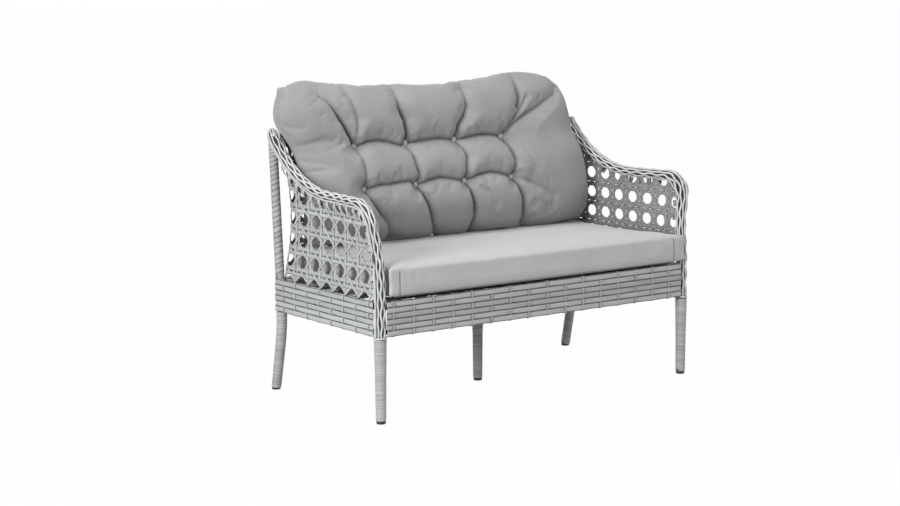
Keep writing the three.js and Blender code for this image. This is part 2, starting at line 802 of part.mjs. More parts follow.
const backX = (column) => -BACK_NET_HALF + GAP + (column * 2 * (BACK_NET_HALF - GAP)) / BACK_COLUMNS;
const backNet = caneNet({
  columns: Array.from({ length: BACK_COLUMNS + 1 }, (_, i) => i),
  topEdge: (left, right) => [[left, NET_TOP], [right, NET_TOP]],
  place: (column, z) => vec(backX(column), netY(z), z),
  width: NET_PITCH,
});
addPiece('back_net', backNet, 'cane');

// Seat deck: wide strips woven both ways with square gaps, lying on the seat rails and notched
// round the four corner posts
const DECK = { halfX: RAIL_X, front: FRONT_RAIL_Y, back: BACK_RAIL_Y, notch: 27, columns: 10, rows: 4 };
function deck() {
  const { halfX, front, back, notch, columns, rows } = DECK;
  const divide = (from, to, parts) => [
    from,
    ...Array.from({ length: parts + 1 }, (_, i) => lerp(from + notch, to - notch, i / parts)),
    to,
  ];
  const linesX = divide(-halfX, halfX, columns);
  const linesY = divide(front, back, rows);
  const sheet = flatSheet(1);
  for (let i = 0; i <= columns + 1; i++) {
    for (let j = 0; j <= rows + 1; j++) {
      const [x0, x1, y0, y1] = [linesX[i], linesX[i + 1], linesY[j], linesY[j + 1]];
      const edgeColumn = i === 0 || i === columns + 1;
      const edgeRow = j === 0 || j === rows + 1;
      if (edgeColumn && edgeRow) {
        continue;
      }
      const [mx, my, dx, dy] = [(x0 + x1) / 2, (y0 + y1) / 2, (x1 - x0) * 0.28, (y1 - y0) * 0.28];
      const gap = [[mx - dx, my - dy], [mx + dx, my - dy], [mx + dx, my + dy], [mx - dx, my + dy]];
      const outline = [[x0, y0], [x1, y0], [x1, y1], [x0, y1]];
      sheet.fill(outline, edgeColumn || edgeRow ? [] : [gap]);
    }
  }
  const middle = DECK_BOTTOM + DECK_THICK / 2;
  return thicken(sheet, (x, y) => vec(x, y, middle), DECK_THICK);
}
addPiece('seat_deck', deck(), 'cane');

// Points from one to another in equal parts, without the last.
function divided([x0, y0], [x1, y1], parts) {
  return Array.from({ length: parts }, (_, i) => [lerp(x0, x1, i / parts), lerp(y0, y1, i / parts)]);
}

// A quarter turn about a centre in equal parts, with both ends.
function quarter([x, y], radius, start, parts) {
  return Array.from({ length: parts + 1 }, (_, i) => {
    const angle = start + (PI / 2) * (i / parts);
    return [x + radius * cos(angle), y + radius * sin(angle)];
  });
}

// Seat cushion: boxed foam that fits between the arms, with a low crown, a soft underside and
// round back corners. Its front corners spread past the front posts.
const EAR = { reach: 18, fade: 30, round: 8, neck: -328, depth: 12, slope: 3 };
const SEAT_BACK_ROUND = 46;
function seatOutline(inset) {
  const side = SEAT.halfX - inset;
  const tip = side + EAR.reach * max(0, 1 - inset / EAR.fade);
  const nose = SEAT.front + inset;
  const neck = max(EAR.neck, nose + EAR.depth);
  const tail = SEAT.back - inset;
  const round = max(SEAT_BACK_ROUND - inset, 4);
  const right = [
    ...divided([0, nose], [tip - EAR.round, nose], 3),
    ...quarter([tip - EAR.round, nose + EAR.round], EAR.round, -PI / 2, 2),
    [tip, neck - EAR.slope],
    ...divided([side, neck], [side, tail - round], 4),
    ...quarter([side - round, tail - round], round, 0, 4),
    ...divided([side - round, tail], [0, tail], 3).slice(1),
    [0, tail],
  ];
  const left = right.slice(1, -1).map(([x, y]) => [-x, y]).reverse();
  return [...right, ...left];
}

// Inset and height of the seat cushion's outline, from the underside over the boxing to the top
const { thick, crown } = SEAT;
const SEAT_LEVELS = [
  [60, 0], [16, 3], [5, 7.5], [0, 16], [2.5, 45], [0, thick - 12], [2, thick - 4], [8, thick],
  [60, thick + crown * 0.55], [140, thick + crown * 0.9], [240, thick + crown],
];
addPiece('seat_cushion', loft(SEAT_LEVELS.map(([inset, height]) => {
  return seatOutline(inset).map(([x, y]) => vec(x, y, SEAT.bottom + height));
})), 'cushion');

// Back cushion: a leaning pillow, thicker at the bottom, with two rows of four buttons pulled in.
// Its front and rear are curves through points (z, y).
const SECTION = {
  front: [
    [467, 178], [505, 120], [560, 86], [650, 92], [720, 112], [785, 150], [860, 162], [930, 188],
    [986, 258],
  ],
  rear: [
    [467, 205], [505, 244], [560, 249], [650, 253], [720, 259], [785, 270], [860, 290],
    [930, 302], [986, 274],
  ],
};
const BUTTON_ROWS = [785, 652];
const BUTTON_X = [-367, -165, 33, 228];
const TUFT = { depth: 44, spread: 62, foldWidth: 24, foldShare: 0.45, foldEnd: 400, foldFade: 30 };
const REAR_TUFT = 16;

function sectionAt(list, z) {
  const k = max(0, list.findIndex(([height]) => height >= z) - 1);
  const pick = (i) => list[min(max(i, 0), list.length - 1)];
  const [a, b, c, d] = [pick(k - 1), pick(k), pick(k + 1), pick(k + 2)];
  const t = (z - b[0]) / (c[0] - b[0]);
  const slopeIn = ((c[1] - a[1]) / (c[0] - a[0])) * (c[0] - b[0]);
  const slopeOut = ((d[1] - b[1]) / (d[0] - b[0])) * (c[0] - b[0]);
  const ease = t * t * (3 - 2 * t);
  const bendIn = t * (1 - t) * (1 - t);
  const bendOut = t * t * (1 - t);
  return lerp(b[1], c[1], ease) + slopeIn * bendIn - slopeOut * bendOut;
}

function tuftPull(x, z, depth) {
  const middle = (BUTTON_X[0] + BUTTON_X[3]) / 2;
  const reach = 1 / (1 + exp((abs(x - middle) - TUFT.foldEnd) / TUFT.foldFade));
  let pull = 0;
  for (const row of BUTTON_ROWS) {
    for (const button of BUTTON_X) {
      pull = max(pull, depth * exp(-((x - button) ** 2 + (z - row) ** 2) / TUFT.spread ** 2));
    }
    const fold = exp(-(((z - row) / TUFT.foldWidth) ** 2));
    pull = max(pull, depth * TUFT.foldShare * reach * fold);
  }
  return pull;
}

// How far a corner is drawn in along the width and in height
const CORNERS = {
  bottom: { tuck: 0.03, drop: 0.04 },
  topLeft: { tuck: 0.02, drop: 0.02 },
  topRight: { tuck: 0.07, drop: 0.12 },
};

// Across (-1 to 1) and height (0 to 1) on the cushion to a point of its front or rear. Above the
// arms the cushion widens, and most to the left.
function pillowPoint(across, up, face) {
  const z0 = lerp(BACK.bottom, BACK.top, up);
  const widen = THREE.MathUtils.smoothstep(z0, 790, 880);
  const half = lerp(BACK.lowHalf, BACK.topHalf, widen);
  const shift = lerp(BACK.lowShift, BACK.topShift, widen);
  const both = (abs(across) * abs(2 * up - 1)) ** 5;
  const top = across < 0 ? CORNERS.topLeft : CORNERS.topRight;
  const { tuck, drop } = up > 0.5 ? top : CORNERS.bottom;
  const x = shift + across * half * (1 - tuck * both);
  const z = lerp(z0, (BACK.bottom + BACK.top) / 2, drop * both);
  const seam = (sectionAt(SECTION.front, z0) + sectionAt(SECTION.rear, z0)) / 2;
  const surface = sectionAt(SECTION[face], z0);
  const plump = sqrt(1 - abs(across) ** 7) * (up > 0 && up < 1 ? 1 : 0.55);
  const pull = face === 'front' ? tuftPull(x, z, TUFT.depth) : -tuftPull(x, z, REAR_TUFT);
  return vec(x, seam + (surface + pull - seam) * plump, z);
}

// The ends are closed by rungs between the front and the rear points of the same height.
function ladder(count) {
  const rungs = [];
  for (let i = 0; i < count / 2 - 1; i++) {
    const [a, b, c, d] = [i, i + 1, count - 2 - i, count - 1 - i];
    rungs.push([a, b, c], [a, c, d]);
  }
  return rungs;
}

// Rings stand on the lines of the buttons, half way between them and closer at the ends.
const buttonAcross = (x) => (x - BACK.lowShift) / BACK.lowHalf;
const RINGS_LEFT = [-0.985, -0.94, -0.87, -0.78];
const RINGS_RIGHT = [0.56, 0.68, 0.8, 0.88, 0.945, 0.985];
const RING_HEIGHTS = [467, 482, 512, 560, 606, 652, 700, 742, 785, 832, 880, 932, 972, 986];
function backCushion() {
  const lines = BUTTON_X.map(buttonAcross);
  const between = lines.slice(1).map((line, i) => (line + lines[i]) / 2);
  const middle = [...lines, ...between].sort((a, b) => a - b);
  const acrossAt = [...RINGS_LEFT, ...middle, ...RINGS_RIGHT];
  const upAt = RING_HEIGHTS.map((z) => (z - BACK.bottom) / (BACK.top - BACK.bottom));
  const rings = acrossAt.map((across) => [
    ...upAt.map((up) => pillowPoint(across, up, 'front')),
    ...[...upAt].reverse().map((up) => pillowPoint(across, up, 'rear')),
  ]);
  return loft(rings, ladder(rings[0].length));
}

// A covered button: depth behind its rim and share of its radius, from the back to the dome.
const BUTTON_SHANK = 4;
const BUTTON_PROFILE = [[BUTTON_SHANK, 0.8], [1, 1], [-3.5, 0.6]];
const BUTTON_SIDES = 8;
function button(x, y, z, facing) {
  return loft(BUTTON_PROFILE.map(([depth, share]) => {
    return Array.from({ length: BUTTON_SIDES }, (_, i) => {
      const angle = (2 * PI * (i + 0.5)) / BUTTON_SIDES;
      const radius = BUTTON_R * share;
      return vec(x + radius * cos(angle), y + facing * depth, z + radius * sin(angle));
    });
  }));
}

// Each button is sunk a little in a pocket of the cushion.
const SUNK = 2;
const POCKET_LENGTH = 40;
const buttonSeats = [];
for (const [rowNumber, z] of BUTTON_ROWS.entries()) {
  for (const [place, x] of BUTTON_X.entries()) {
    const up = (z - BACK.bottom) / (BACK.top - BACK.bottom);
    for (const [face, facing] of [['front', 1], ['rear', -1]]) {
      const y = pillowPoint(buttonAcross(x), up, face).y - facing * SUNK;
      buttonSeats.push({ name: `button_${face}_${rowNumber + 1}_${place + 1}`, x, y, z, facing });
    }
  }
}
const pockets = buttonSeats.map(({ x, y, z, facing }) => bar(
  vec(x, y + facing * (BUTTON_SHANK + GAP), z),
  vec(x, y - facing * POCKET_LENGTH, z),
  BUTTON_R + 1,
  BUTTON_SIDES,
));
addPiece('back_cushion', cut(backCushion(), pockets), 'cushion');
for (const { name, x, y, z, facing } of buttonSeats) {
  addPiece(name, button(x, y, z, facing), 'cushion');
}

// The origin is on the floor, in the middle of the sofa's own box.
const box = new THREE.Box3().setFromObject(group);
group.position.y = -(box.min.y + box.max.y) / 2;

export default group;
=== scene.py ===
import math

import bpy
import numpy as np
from mathutils import Matrix, Vector


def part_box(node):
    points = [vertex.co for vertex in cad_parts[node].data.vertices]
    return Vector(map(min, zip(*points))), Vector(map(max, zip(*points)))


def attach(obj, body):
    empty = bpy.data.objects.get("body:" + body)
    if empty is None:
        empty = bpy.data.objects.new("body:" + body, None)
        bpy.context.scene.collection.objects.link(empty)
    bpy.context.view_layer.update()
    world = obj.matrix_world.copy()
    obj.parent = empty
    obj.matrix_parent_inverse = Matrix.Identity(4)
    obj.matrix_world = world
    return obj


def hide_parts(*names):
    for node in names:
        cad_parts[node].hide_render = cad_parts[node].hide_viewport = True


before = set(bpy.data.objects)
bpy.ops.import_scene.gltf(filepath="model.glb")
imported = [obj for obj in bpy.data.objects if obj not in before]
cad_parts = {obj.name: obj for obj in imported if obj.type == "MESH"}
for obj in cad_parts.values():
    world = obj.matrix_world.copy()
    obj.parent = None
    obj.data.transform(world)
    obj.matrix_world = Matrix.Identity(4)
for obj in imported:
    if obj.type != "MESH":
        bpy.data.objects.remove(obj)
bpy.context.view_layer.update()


# ---- Frame tubes ----
# Aluminium tube, 25 mm for the hoops, posts and top rail and thinner for the seat and apron
# rails, welded where one is coped to the next and powder coated. Its dark grey is painted
# shade, standing for the deep shadow in the gaps of the weave that covers it.

class Shade:
    """An output of a node. Arithmetic between shades and numbers adds Math nodes."""

    def __init__(self, tree, socket=None):
        self.tree = tree
        self.socket = socket

    def node(self, kind, settings=(), inputs=(), output=0):
        """Adds a node of a kind with its settings, then values or links for its sockets."""
        made = self.tree.nodes.new("ShaderNode" + kind)
        for name, value in dict(settings).items():
            setattr(made, name, value)
        for name, value in dict(inputs).items():
            if isinstance(value, Shade):
                self.tree.links.new(value.socket, made.inputs[name])
            else:
                made.inputs[name].default_value = value
        return Shade(self.tree, made.outputs[output])

    def maths(self, operation, *values):
        return self.node("Math", {"operation": operation}, enumerate(values))

    def __add__(self, other):
        return self.maths("ADD", self, other)

    def __sub__(self, other):
        return self.maths("SUBTRACT", self, other)

    def __rsub__(self, other):
        return self.maths("SUBTRACT", other, self)

    def __mul__(self, other):
        return self.maths("MULTIPLY", self, other)

    __radd__ = __add__
    __rmul__ = __mul__

    def blend(self, first, second):
        """The first colour where this shade is 0 and the second where it is 1."""
        inputs = {0: self, 6: first, 7: second}
        return self.node("Mix", {"data_type": "RGBA"}, inputs, output=2)

    def noise(self, scale, vector, detail):
        inputs = {"Vector": vector, "Scale": scale, "Detail": detail}
        return self.node("TexNoise", {}, inputs)

    def between(self, low, high):
        """0 below low, 1 above high and an even rise between them."""
        inputs = {0: self, 1: low, 2: high, 3: 0.0, 4: 1.0}
        return self.node("MapRange", {"clamp": True}, inputs)

    def relief(self, height, strength, distance):
        inputs = {"Height": height, "Strength": strength, "Distance": distance}
        return self.node("Bump", {}, inputs)


def linear(code):
    """A colour as the renderer counts it, from its six-digit code on a screen."""
    tones = [int(code[k:k + 2], 16) / 255 for k in (0, 2, 4)]
    return (*(t / 12.92 if t <= 0.04045 else ((t + 0.055) / 1.055) ** 2.4 for t in tones), 1.0)


def start_finish(name):
    """A new material: the material, a shade to build on, and a function that sets its shader."""
    material = bpy.data.materials.new(name)
    material.use_nodes = True
    tree = material.node_tree
    shader = tree.nodes["Principled BSDF"]

    def apply(**sockets):
        for key, value in sockets.items():
            socket = shader.inputs[key.replace("_", " ")]
            if isinstance(value, Shade):
                tree.links.new(value.socket, socket)
            else:
                socket.default_value = value

    return material, Shade(tree), apply


def tube_coating_gap_shade():
    """Powder coat whose dark grey is painted shade for the gaps in the weave over the tubes:
    a fine pebbled skin with slightly uneven gloss.
    """
    material, shade, apply = start_finish("tube_coating_gap_shade")
    place = shade.node("TexCoord", output=3)
    pebble = shade.noise(1400, place, 2)
    cloud = shade.noise(9, place, 4)
    apply(
        # painted shade: these dark greys stand for the shadow deep in the weave's gaps
        Base_Color=cloud.between(0.3, 0.7).blend(linear("303233"), linear("3a3c3d")),
        Roughness=cloud * 0.14 + 0.42,
        Normal=shade.relief(pebble, 0.2, 0.0003),
    )
    return material


def dress(node, material):
    """A CAD node keeps its shape and takes a material."""
    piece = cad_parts[node]
    piece.data.materials.clear()
    piece.data.materials.append(material)


gap_shade_coating = tube_coating_gap_shade()
for tube in ("back_post", "arm_hoop", "seat_rail", "apron_rail", "front_leg"):
    for side in ("left", "right"):
        dress(f"{tube}_{side}", gap_shade_coating)
for tube in ("seat_rail_front", "seat_rail_back", "apron_rail_front", "apron_rail_back",
             "back_top_rail", "centre_rail", "centre_leg"):
    dress(tube, gap_shade_coating)


# ---- Feet ----
# Black moulded plastic cups pushed over the ends of the five legs. The sole is flat with a
# rounded edge, and the back pair follow the rake of their legs.

LEG_X = 605.0
FRONT_LEG_Y = -307.0
CENTRE_LEG_Y = 19.0
TOP_RAIL = (298.0, 814.0)
foot_low, foot_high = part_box("foot_cap_centre")
Y_SHIFT = (foot_low.y + foot_high.y) * 500 - CENTRE_LEG_Y


def length_along(points):
    """How far along a line of points each one lies."""
    step = np.linalg.norm(np.diff(points, axis=0), axis=1)
    return np.concatenate([[0], np.cumsum(step)])


def read_off(places, length, values):
    """Pairs of values at places along a line, evenly between those at its own points."""
    return np.stack([np.interp(places, length, column) for column in values.T], axis=-1)


def bent_line(bends):
    """Points (y, z) along a bent tube: straight runs, with an arc of its radius at each bend.

    An arc starts radius * tan(turn / 2) before its bend point and turns about the centre that
    lies one radius off the line there."""
    step = 2.5
    corners = np.array([b[:2] for b in bends])
    runs = np.diff(corners, axis=0)
    headings = np.arctan2(runs[:, 1], runs[:, 0])
    pieces = [corners[:1]]
    for k, (heading, turn) in enumerate(zip(headings[:-1], np.diff(headings)), start=1):
        radius = bends[k][2]
        reach = radius * math.tan(abs(turn) / 2)
        start = corners[k] - reach * np.array([math.cos(heading), math.sin(heading)])
        angle = heading + turn * np.linspace(0, 1, max(6, int(abs(turn) * radius / step)))
        hand = math.copysign(radius, turn)
        centre = start + hand * np.array([-math.sin(heading), math.cos(heading)])
        pieces.append(centre + hand * np.stack([np.sin(angle), -np.cos(angle)], axis=1))
    points = np.concatenate([*pieces, corners[-1:]])
    length = length_along(points)
    places = np.linspace(0, length[-1], int(length[-1] / step) + 1)
    return read_off(places, length, points)


POST_LINE = bent_line([(305.0, 0.0, 0), (257.6, 220.5, 500.0), (*TOP_RAIL, 0)])


def post_y(z):
    """How far back the middle of a back post stands at a height."""
    return np.interp(z, POST_LINE[:, 1], POST_LINE[:, 0])


def other_hand(values):
    """Values round each ring in mirror order, with a strip's outer face still the later one."""
    return np.roll(values[:, ::-1], values.shape[1] // 2, axis=1)


def mirrored(grids):
    """The same grids on the other side of the sofa, each ring turned round to face outwards."""
    return [other_hand(grid) * (-1, 1, 1) for grid in grids]


BOTH_SIDES = (("left", list), ("right", mirrored))


def make_piece(name, grids, material, nodes, body="frame", tone=None):
    """One mesh of closed skins, each a grid of rings with both ends capped.

    The UV map holds the length along a skin in metres and the share of the way round it, and the
    attribute strand a number from 0 to 1 for each skin, or the tone given for its points, which
    drops below 0 as painted shade in the grooves of a winding."""
    points, loops, starts, uvs, tones = [], [], [], [], []
    base = loop_base = 0
    random = np.random.default_rng(len(grids))
    for number, grid in enumerate(grids):
        count, around = grid.shape[:2]
        i, j = np.meshgrid(np.arange(count - 1), np.arange(around), indexing="ij")
        nxt = (j + 1) % around
        quads = np.stack([i * around + j, i * around + nxt, (i + 1) * around + nxt,
                          (i + 1) * around + j], axis=2).reshape(-1, 4)
        length = length_along(grid.mean(axis=1))
        u = np.stack([length[i], length[i], length[i + 1], length[i + 1]], axis=2) * 0.001
        v = np.stack([j, j + 1, j + 1, j], axis=2) / around
        points.append(grid.reshape(-1, 3))
        loops.append(quads.ravel() + base)
        starts.append(loop_base + np.arange(len(quads)) * 4)
        uvs.append(np.stack([u, v], axis=3).reshape(-1, 2))
        loop_base += quads.size
        ends = np.stack([np.arange(around)[::-1], (count - 1) * around + np.arange(around)])
        loops.append(ends.ravel() + base)
        starts.append(loop_base + np.array([0, around]))
        uvs.append(np.zeros((2 * around, 2)))
        loop_base += 2 * around
        own = np.full(count * around, random.random())
        tones.append(own if tone is None else tone[number].ravel())
        base += count * around
    mesh = bpy.data.meshes.new(name)
    co = (np.concatenate(points) + (0, Y_SHIFT, 0)) * 0.001
    mesh.vertices.add(len(co))
    mesh.vertices.foreach_set("co", co.astype(np.float32).ravel())
    vertex = np.concatenate(loops).astype(np.int32)
    mesh.loops.add(len(vertex))
    mesh.loops.foreach_set("vertex_index", vertex)
    start = np.concatenate(starts).astype(np.int32)
    mesh.polygons.add(len(start))
    mesh.polygons.foreach_set("loop_start", start)
    mesh.polygons.foreach_set("use_smooth", np.ones(len(start), bool))
    mesh.uv_layers.new(name="UVMap").data.foreach_set("uv", np.concatenate(uvs).ravel())
    strand = mesh.attributes.new("strand", "FLOAT", "POINT")
    strand.data.foreach_set("value", np.concatenate(tones).astype(np.float32))
    mesh.update(calc_edges=True)
    mesh.validate()
    mesh.materials.append(material)
    piece = bpy.data.objects.new(name, mesh)
    bpy.context.scene.collection.objects.link(piece)
    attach(piece, body)
    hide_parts(*nodes)
    return piece


def foot_plastic():
    """Black moulding with a fine grain, scuffed paler towards the sole."""
    material, shade, apply = start_finish("foot_plastic")
    place = shade.node("TexCoord", output=3)
    height = shade.node("SeparateXYZ", inputs={0: place}, output=2)
    grain = shade.noise(900, place, 2)
    scuff = shade.noise(160, place, 4).between(0.5, 0.7) * (1 - height.between(0.001, 0.006))
    apply(
        Base_Color=scuff.blend(linear("1c1c1d"), linear("48484a")),
        Roughness=scuff * 0.3 + 0.42,
        Normal=shade.relief(grain, 0.25, 0.0003),
    )
    return material


black_plastic = foot_plastic()
# Height and radius up the outside of a foot
CUP_PROFILE = np.array([
    [0.0, 4], [0.0, 12.2], [0.3, 13.2], [1.0, 14.0], [2.2, 14.4], [6, 14.4], [8.8, 14.4],
    [9.6, 14.1], [10, 13.5], [10, 11.5],
])


def cup(x, y):
    """A foot: level rings at x + radius * cos a and y - radius * sin a, the radius at each
    height from the turned profile."""
    level, radius = CUP_PROFILE.T[..., None]
    angle = np.arange(32) * np.pi / 16
    rings = (x + radius * np.cos(angle), np.reshape(y, (-1, 1)) - radius * np.sin(angle), level)
    return np.stack(np.broadcast_arrays(*rings), axis=2)


feet = (("front", cup(-LEG_X, FRONT_LEG_Y)), ("back", cup(-LEG_X, post_y(CUP_PROFILE[:, 0]))))
for side, turned in BOTH_SIDES:
    for place, grid in feet:
        make_piece(f"foot_{place}_{side}", turned([grid]), black_plastic,
                   [f"foot_cap_{place}_{side}"])
make_piece("foot_centre", [cup(0.0, CENTRE_LEG_Y)], black_plastic, ["foot_cap_centre"])


# ---- Bound legs and posts ----
# Flat cane strip wound tight round the five legs in turns of about 6 mm, each edge lying on the
# turn before, and round the upper back posts in wider slanting turns. Its ends are stapled.

def cane_strip(name, pale, dark, grain_scale, edge_shaded=True):
    """Extruded polyethylene strip: lengthwise grooves, a soft gloss, and a shade for each strip.

    A strand value below 0 is painted shade between turns. Round an edge-shaded strip, the faces
    span an eighth from 1/8 (the inner face, darkened as painted shade) and from 5/8, and the rest
    is edge painted dark as shade."""
    material, shade, apply = start_finish(name)
    flow = shade.node("TexCoord", output=2)
    place = shade.node("TexCoord", output=3)
    strand = shade.node("Attribute", {"attribute_name": "strand"}, output=2)
    stretch = {0: flow, 1: (8.0, grain_scale, 1.0)}
    grooves = shade.noise(1.0, shade.node("VectorMath", {"operation": "MULTIPLY"}, stretch), 3)
    cloud = shade.noise(14, place, 3)
    tone = (strand * 0.5 + grooves * 0.35 + cloud * 0.3).between(0.25, 0.9)
    colour = tone.blend(linear(dark), linear(pale))
    # painted shade: points below 0, in the grooves between turns, are darkened to 4b4d4d
    colour = strand.between(-1.0, 0.0).blend(linear("4b4d4d"), colour)
    if edge_shaded:
        turn = shade.node("SeparateXYZ", inputs={0: flow}, output=1)
        from_face = shade.maths("ABSOLUTE", shade.maths("FRACT", turn * 2) - 0.375)
        # painted shade: the strip's inner face is darkened, as it lies in shade
        reverse = shade.maths("LESS_THAN", turn, 0.375)
        colour = (reverse * 0.6).blend(colour, linear("6e7070"))
        # painted shade: dark outlines along each strip's edges stand for the shade in the gaps
        # between strips
        colour = (from_face.between(0.092, 0.124) * 0.85).blend(colour, linear("434545"))
    apply(
        Base_Color=colour,
        Roughness=grooves * 0.2 + 0.45,
        Normal=shade.relief(grooves, 0.35, 0.0006),
        Specular_IOR_Level=0.4,
    )
    return material


wound_cane = cane_strip("wound_cane", "c2c5c4", "a4a7a6", 40.0, edge_shaded=False)
# painted shade: the same cane as the legs' winding, set darker to stand for the shade on the posts
post_cane_shaded_copy = cane_strip("post_cane_shaded_copy", "b0b3b2", "929594", 40.0, edge_shaded=False)
# A winding: its cane, the rise of a turn, the strips side by side, and how dark the painted
# shade in its grooves is
LEG_TURNS = (wound_cane, 6.2, 1, 0.7)
POST_TURNS = (post_cane_shaded_copy, 15.5, 2, 0.85)


def upright(low, high, y=None):
    """Points up a leg between two heights, at one y or along the bent back post."""
    z = np.arange(low, high, 0.9)
    return np.stack([post_y(z) if y is None else np.full_like(z, y), z], axis=1)


def spin_grid(x, line, radius):
    """A round skin about a line in the side plane: point + radius * (cos a across, sin a up),
    with a radius for each station and angle."""
    along = np.gradient(line, axis=0)
    along /= np.hypot(*along.T)[:, None]
    angle = np.arange(radius.shape[1]) * 2 * np.pi / radius.shape[1]
    up = radius * np.sin(angle)
    return np.stack([
        x + radius * np.cos(angle),
        line[:, :1] - up * along[:, 1:],
        line[:, 1:] + up * along[:, :1],
    ], axis=2)


def wound_skin(x, line, radius, pitch, starts, groove_shade_depth, seed):
    """The outside of a wound strip as one grid, and the tone at each point, which falls below 0
    as painted shade in the grooves between turns.

    A point's turn number is its place along the leg over the pitch plus starts times its
    angle; within a turn the skin rises to a flat strip with an edge that laps the last one."""
    around, unevenness, sink, rise, lap, own_rise = 36, 0.16, 1.1, 0.9, 0.7, 0.35
    random = np.random.default_rng(seed)
    length = length_along(line)
    edges = pitch * (1 + unevenness * random.standard_normal(int(length[-1] / pitch) + 9))
    turn = np.interp(length, np.cumsum(edges), np.arange(len(edges)))
    turn = turn[:, None] + starts * np.arange(around) / around
    across = 2 * (turn % 1) - 1
    jitter = random.random(400)[np.floor(turn).astype(int) % 400]
    relief = rise * (1 - np.abs(across) ** 5) + lap * across / 2 + own_rise * jitter
    # painted shade: how far into a groove between turns a point lies, where its tone is darkened
    groove_shade_mask = np.clip((np.abs(across) - 0.62) / 0.3, 0, 1)
    skin = spin_grid(x, line, radius[:, None] - sink + relief)
    return skin, jitter - groove_shade_mask * (jitter + groove_shade_depth)


def wind(name, node, x, line, radii, turns, seed, turned=list):
    """A wound sleeve along a line whose radius goes evenly through the given radii."""
    cane, *winding = turns
    radius = np.interp(np.linspace(0, 1, len(line)), np.linspace(0, 1, len(radii)), radii)
    grid, tone = wound_skin(x, line, radius, *winding, seed)
    if turned is mirrored:
        tone = other_hand(tone)
    make_piece(name, turned([grid]), cane, [node], tone=[tone])


FOOT_TOP = CUP_PROFILE[-1, 0] + 0.1
# Name, node, stretch, radii, winding and first seed of each
BOUND = (
    ("front_leg_winding", "leg_wrap_front", upright(FOOT_TOP, 257, FRONT_LEG_Y),
     (16, 17.2, 19.5), LEG_TURNS, 10),
    ("back_leg_winding", "leg_wrap_back", upright(FOOT_TOP, 263), (16, 16.6, 17.5), LEG_TURNS,
     20),
    ("post_winding", "post_wrap", upright(366, 806), (14.8, 14.8), POST_TURNS, 30),
)
for number, (side, turned) in enumerate(BOTH_SIDES):
    for name, node, line, radii, turns, seed in BOUND:
        wind(f"{name}_{side}", f"{node}_{side}", -LEG_X, line, radii, turns, seed + number,
             turned)
wind("centre_leg_winding", "leg_wrap_centre", 0.0, upright(FOOT_TOP, 262, CENTRE_LEG_Y),
     (15.5, 16, 16.5, 17, 19.5, 21.5), LEG_TURNS, 40)


# ---- Braids ----
# Ten round strands laid over the arm hoops and the top rail. Neighbours meet and part by turns,
# which leaves a chain of dark gaps between them, and a ring of strand catches them at the foot.

strand_cane = cane_strip("strand_cane", "d3d5d4", "b0b3b2", 12.0, edge_shaded=False)
ARM_Z = 660.0
CORNER_R = 75.0
SWEEP_R = 415.0
HOOP_LINE = bent_line([
    (FRONT_LEG_Y, 262.3, 0), (FRONT_LEG_Y, 410.0, 300.0), (-286.0, ARM_Z, CORNER_R),
    (156.0, ARM_Z, SWEEP_R), (281.0, 814.4, 0),
])
BRAID_R = 19.5
STRAND_R = 2.9
STRANDS = 10
SWAY = 2.3
SWAY_PERIOD = 58.0
RIDE = 1.4
HEAD_POINTS = 10
SIXTHS = np.arange(6) * np.pi / 3
ROUND = STRAND_R * np.stack([np.cos(SIXTHS), np.sin(SIXTHS)], axis=1)
UPWARDS = np.array([0.0, 0, 1])


def unit(vectors):
    return vectors / np.linalg.norm(vectors, axis=-1, keepdims=True)


def lay_along(centre, outward, section):
    """A section carried along a line and turned to the direction outward: centre + side * its
    width + up * its height, where side and up are square to the line."""
    along = unit(np.gradient(centre, axis=0))
    side = unit(np.cross(outward, along))
    up = np.cross(along, side)
    return (centre[:, None] + side[:, None] * section[None, :, :1]
            + up[:, None] * section[None, :, 1:])


def braid(centre, across, up, seed, close=0, loose=(0.0, 0, 0)):
    """Strands round a tube. A strand sways along the skin as the sine of its place over the
    period, the next one the other way, and rides outwards by the same sine, so that one of two
    neighbours is on top where they meet. Over the last points the braid closes like a dome:
    root of 1 - (share of the way) squared. A loose spot, given as a share of the radius and
    its y and z, bulges by exp(-(distance / 55) squared)."""
    share, y, z = loose
    taper = 1 + share * np.exp(-(np.hypot(centre[:, 1] - y, centre[:, 2] - z) / 55) ** 2)
    if close:
        taper[-close:] *= np.sqrt(1.02 - np.linspace(0, 1, close) ** 2)
    length = length_along(centre)
    random = np.random.default_rng(seed)
    strands = []
    for number in range(STRANDS):
        drift = 0.5 * np.sin(length / 70 + 6 * random.random())
        sway = np.sin(np.pi * (2 * length / SWAY_PERIOD + number) + drift)
        radius = (BRAID_R - STRAND_R - RIDE + RIDE * sway) * taper
        angle = 2 * np.pi * number / STRANDS + (SWAY * sway + drift) / BRAID_R
        spoke = across * np.cos(angle)[:, None] + up * np.sin(angle)[:, None]
        strands.append(lay_along(centre + spoke * radius[:, None], spoke, ROUND))
    return strands


def ease(value, low, high):
    """0 below low, 1 above high and a smooth rise between them."""
    t = np.clip((value - low) / (high - low), 0, 1)
    return t * t * (3 - 2 * t)


def spread(y, z):
    """How far the front corner of an arm stands out from the upright leg."""
    return 19 * ease(z, 480, 650) * (1 - ease(y, -250, -40))


def hoop_braid_line(head):
    """Centres and two directions across for the braid of an arm, which runs on past the end of
    the hoop by the length of its head."""
    run = unit(HOOP_LINE[-1] - HOOP_LINE[-4])
    end = HOOP_LINE[-1] + np.outer(np.linspace(2.2, head, HEAD_POINTS), run)
    line = np.concatenate([HOOP_LINE[::2], end])
    centre = np.insert(line, 0, -LEG_X - spread(*line.T), axis=1)
    along = unit(np.gradient(centre, axis=0))
    across = unit(np.array([1.0, 0, 0]) - along * along[:, :1])
    return centre, across, np.cross(along, across)


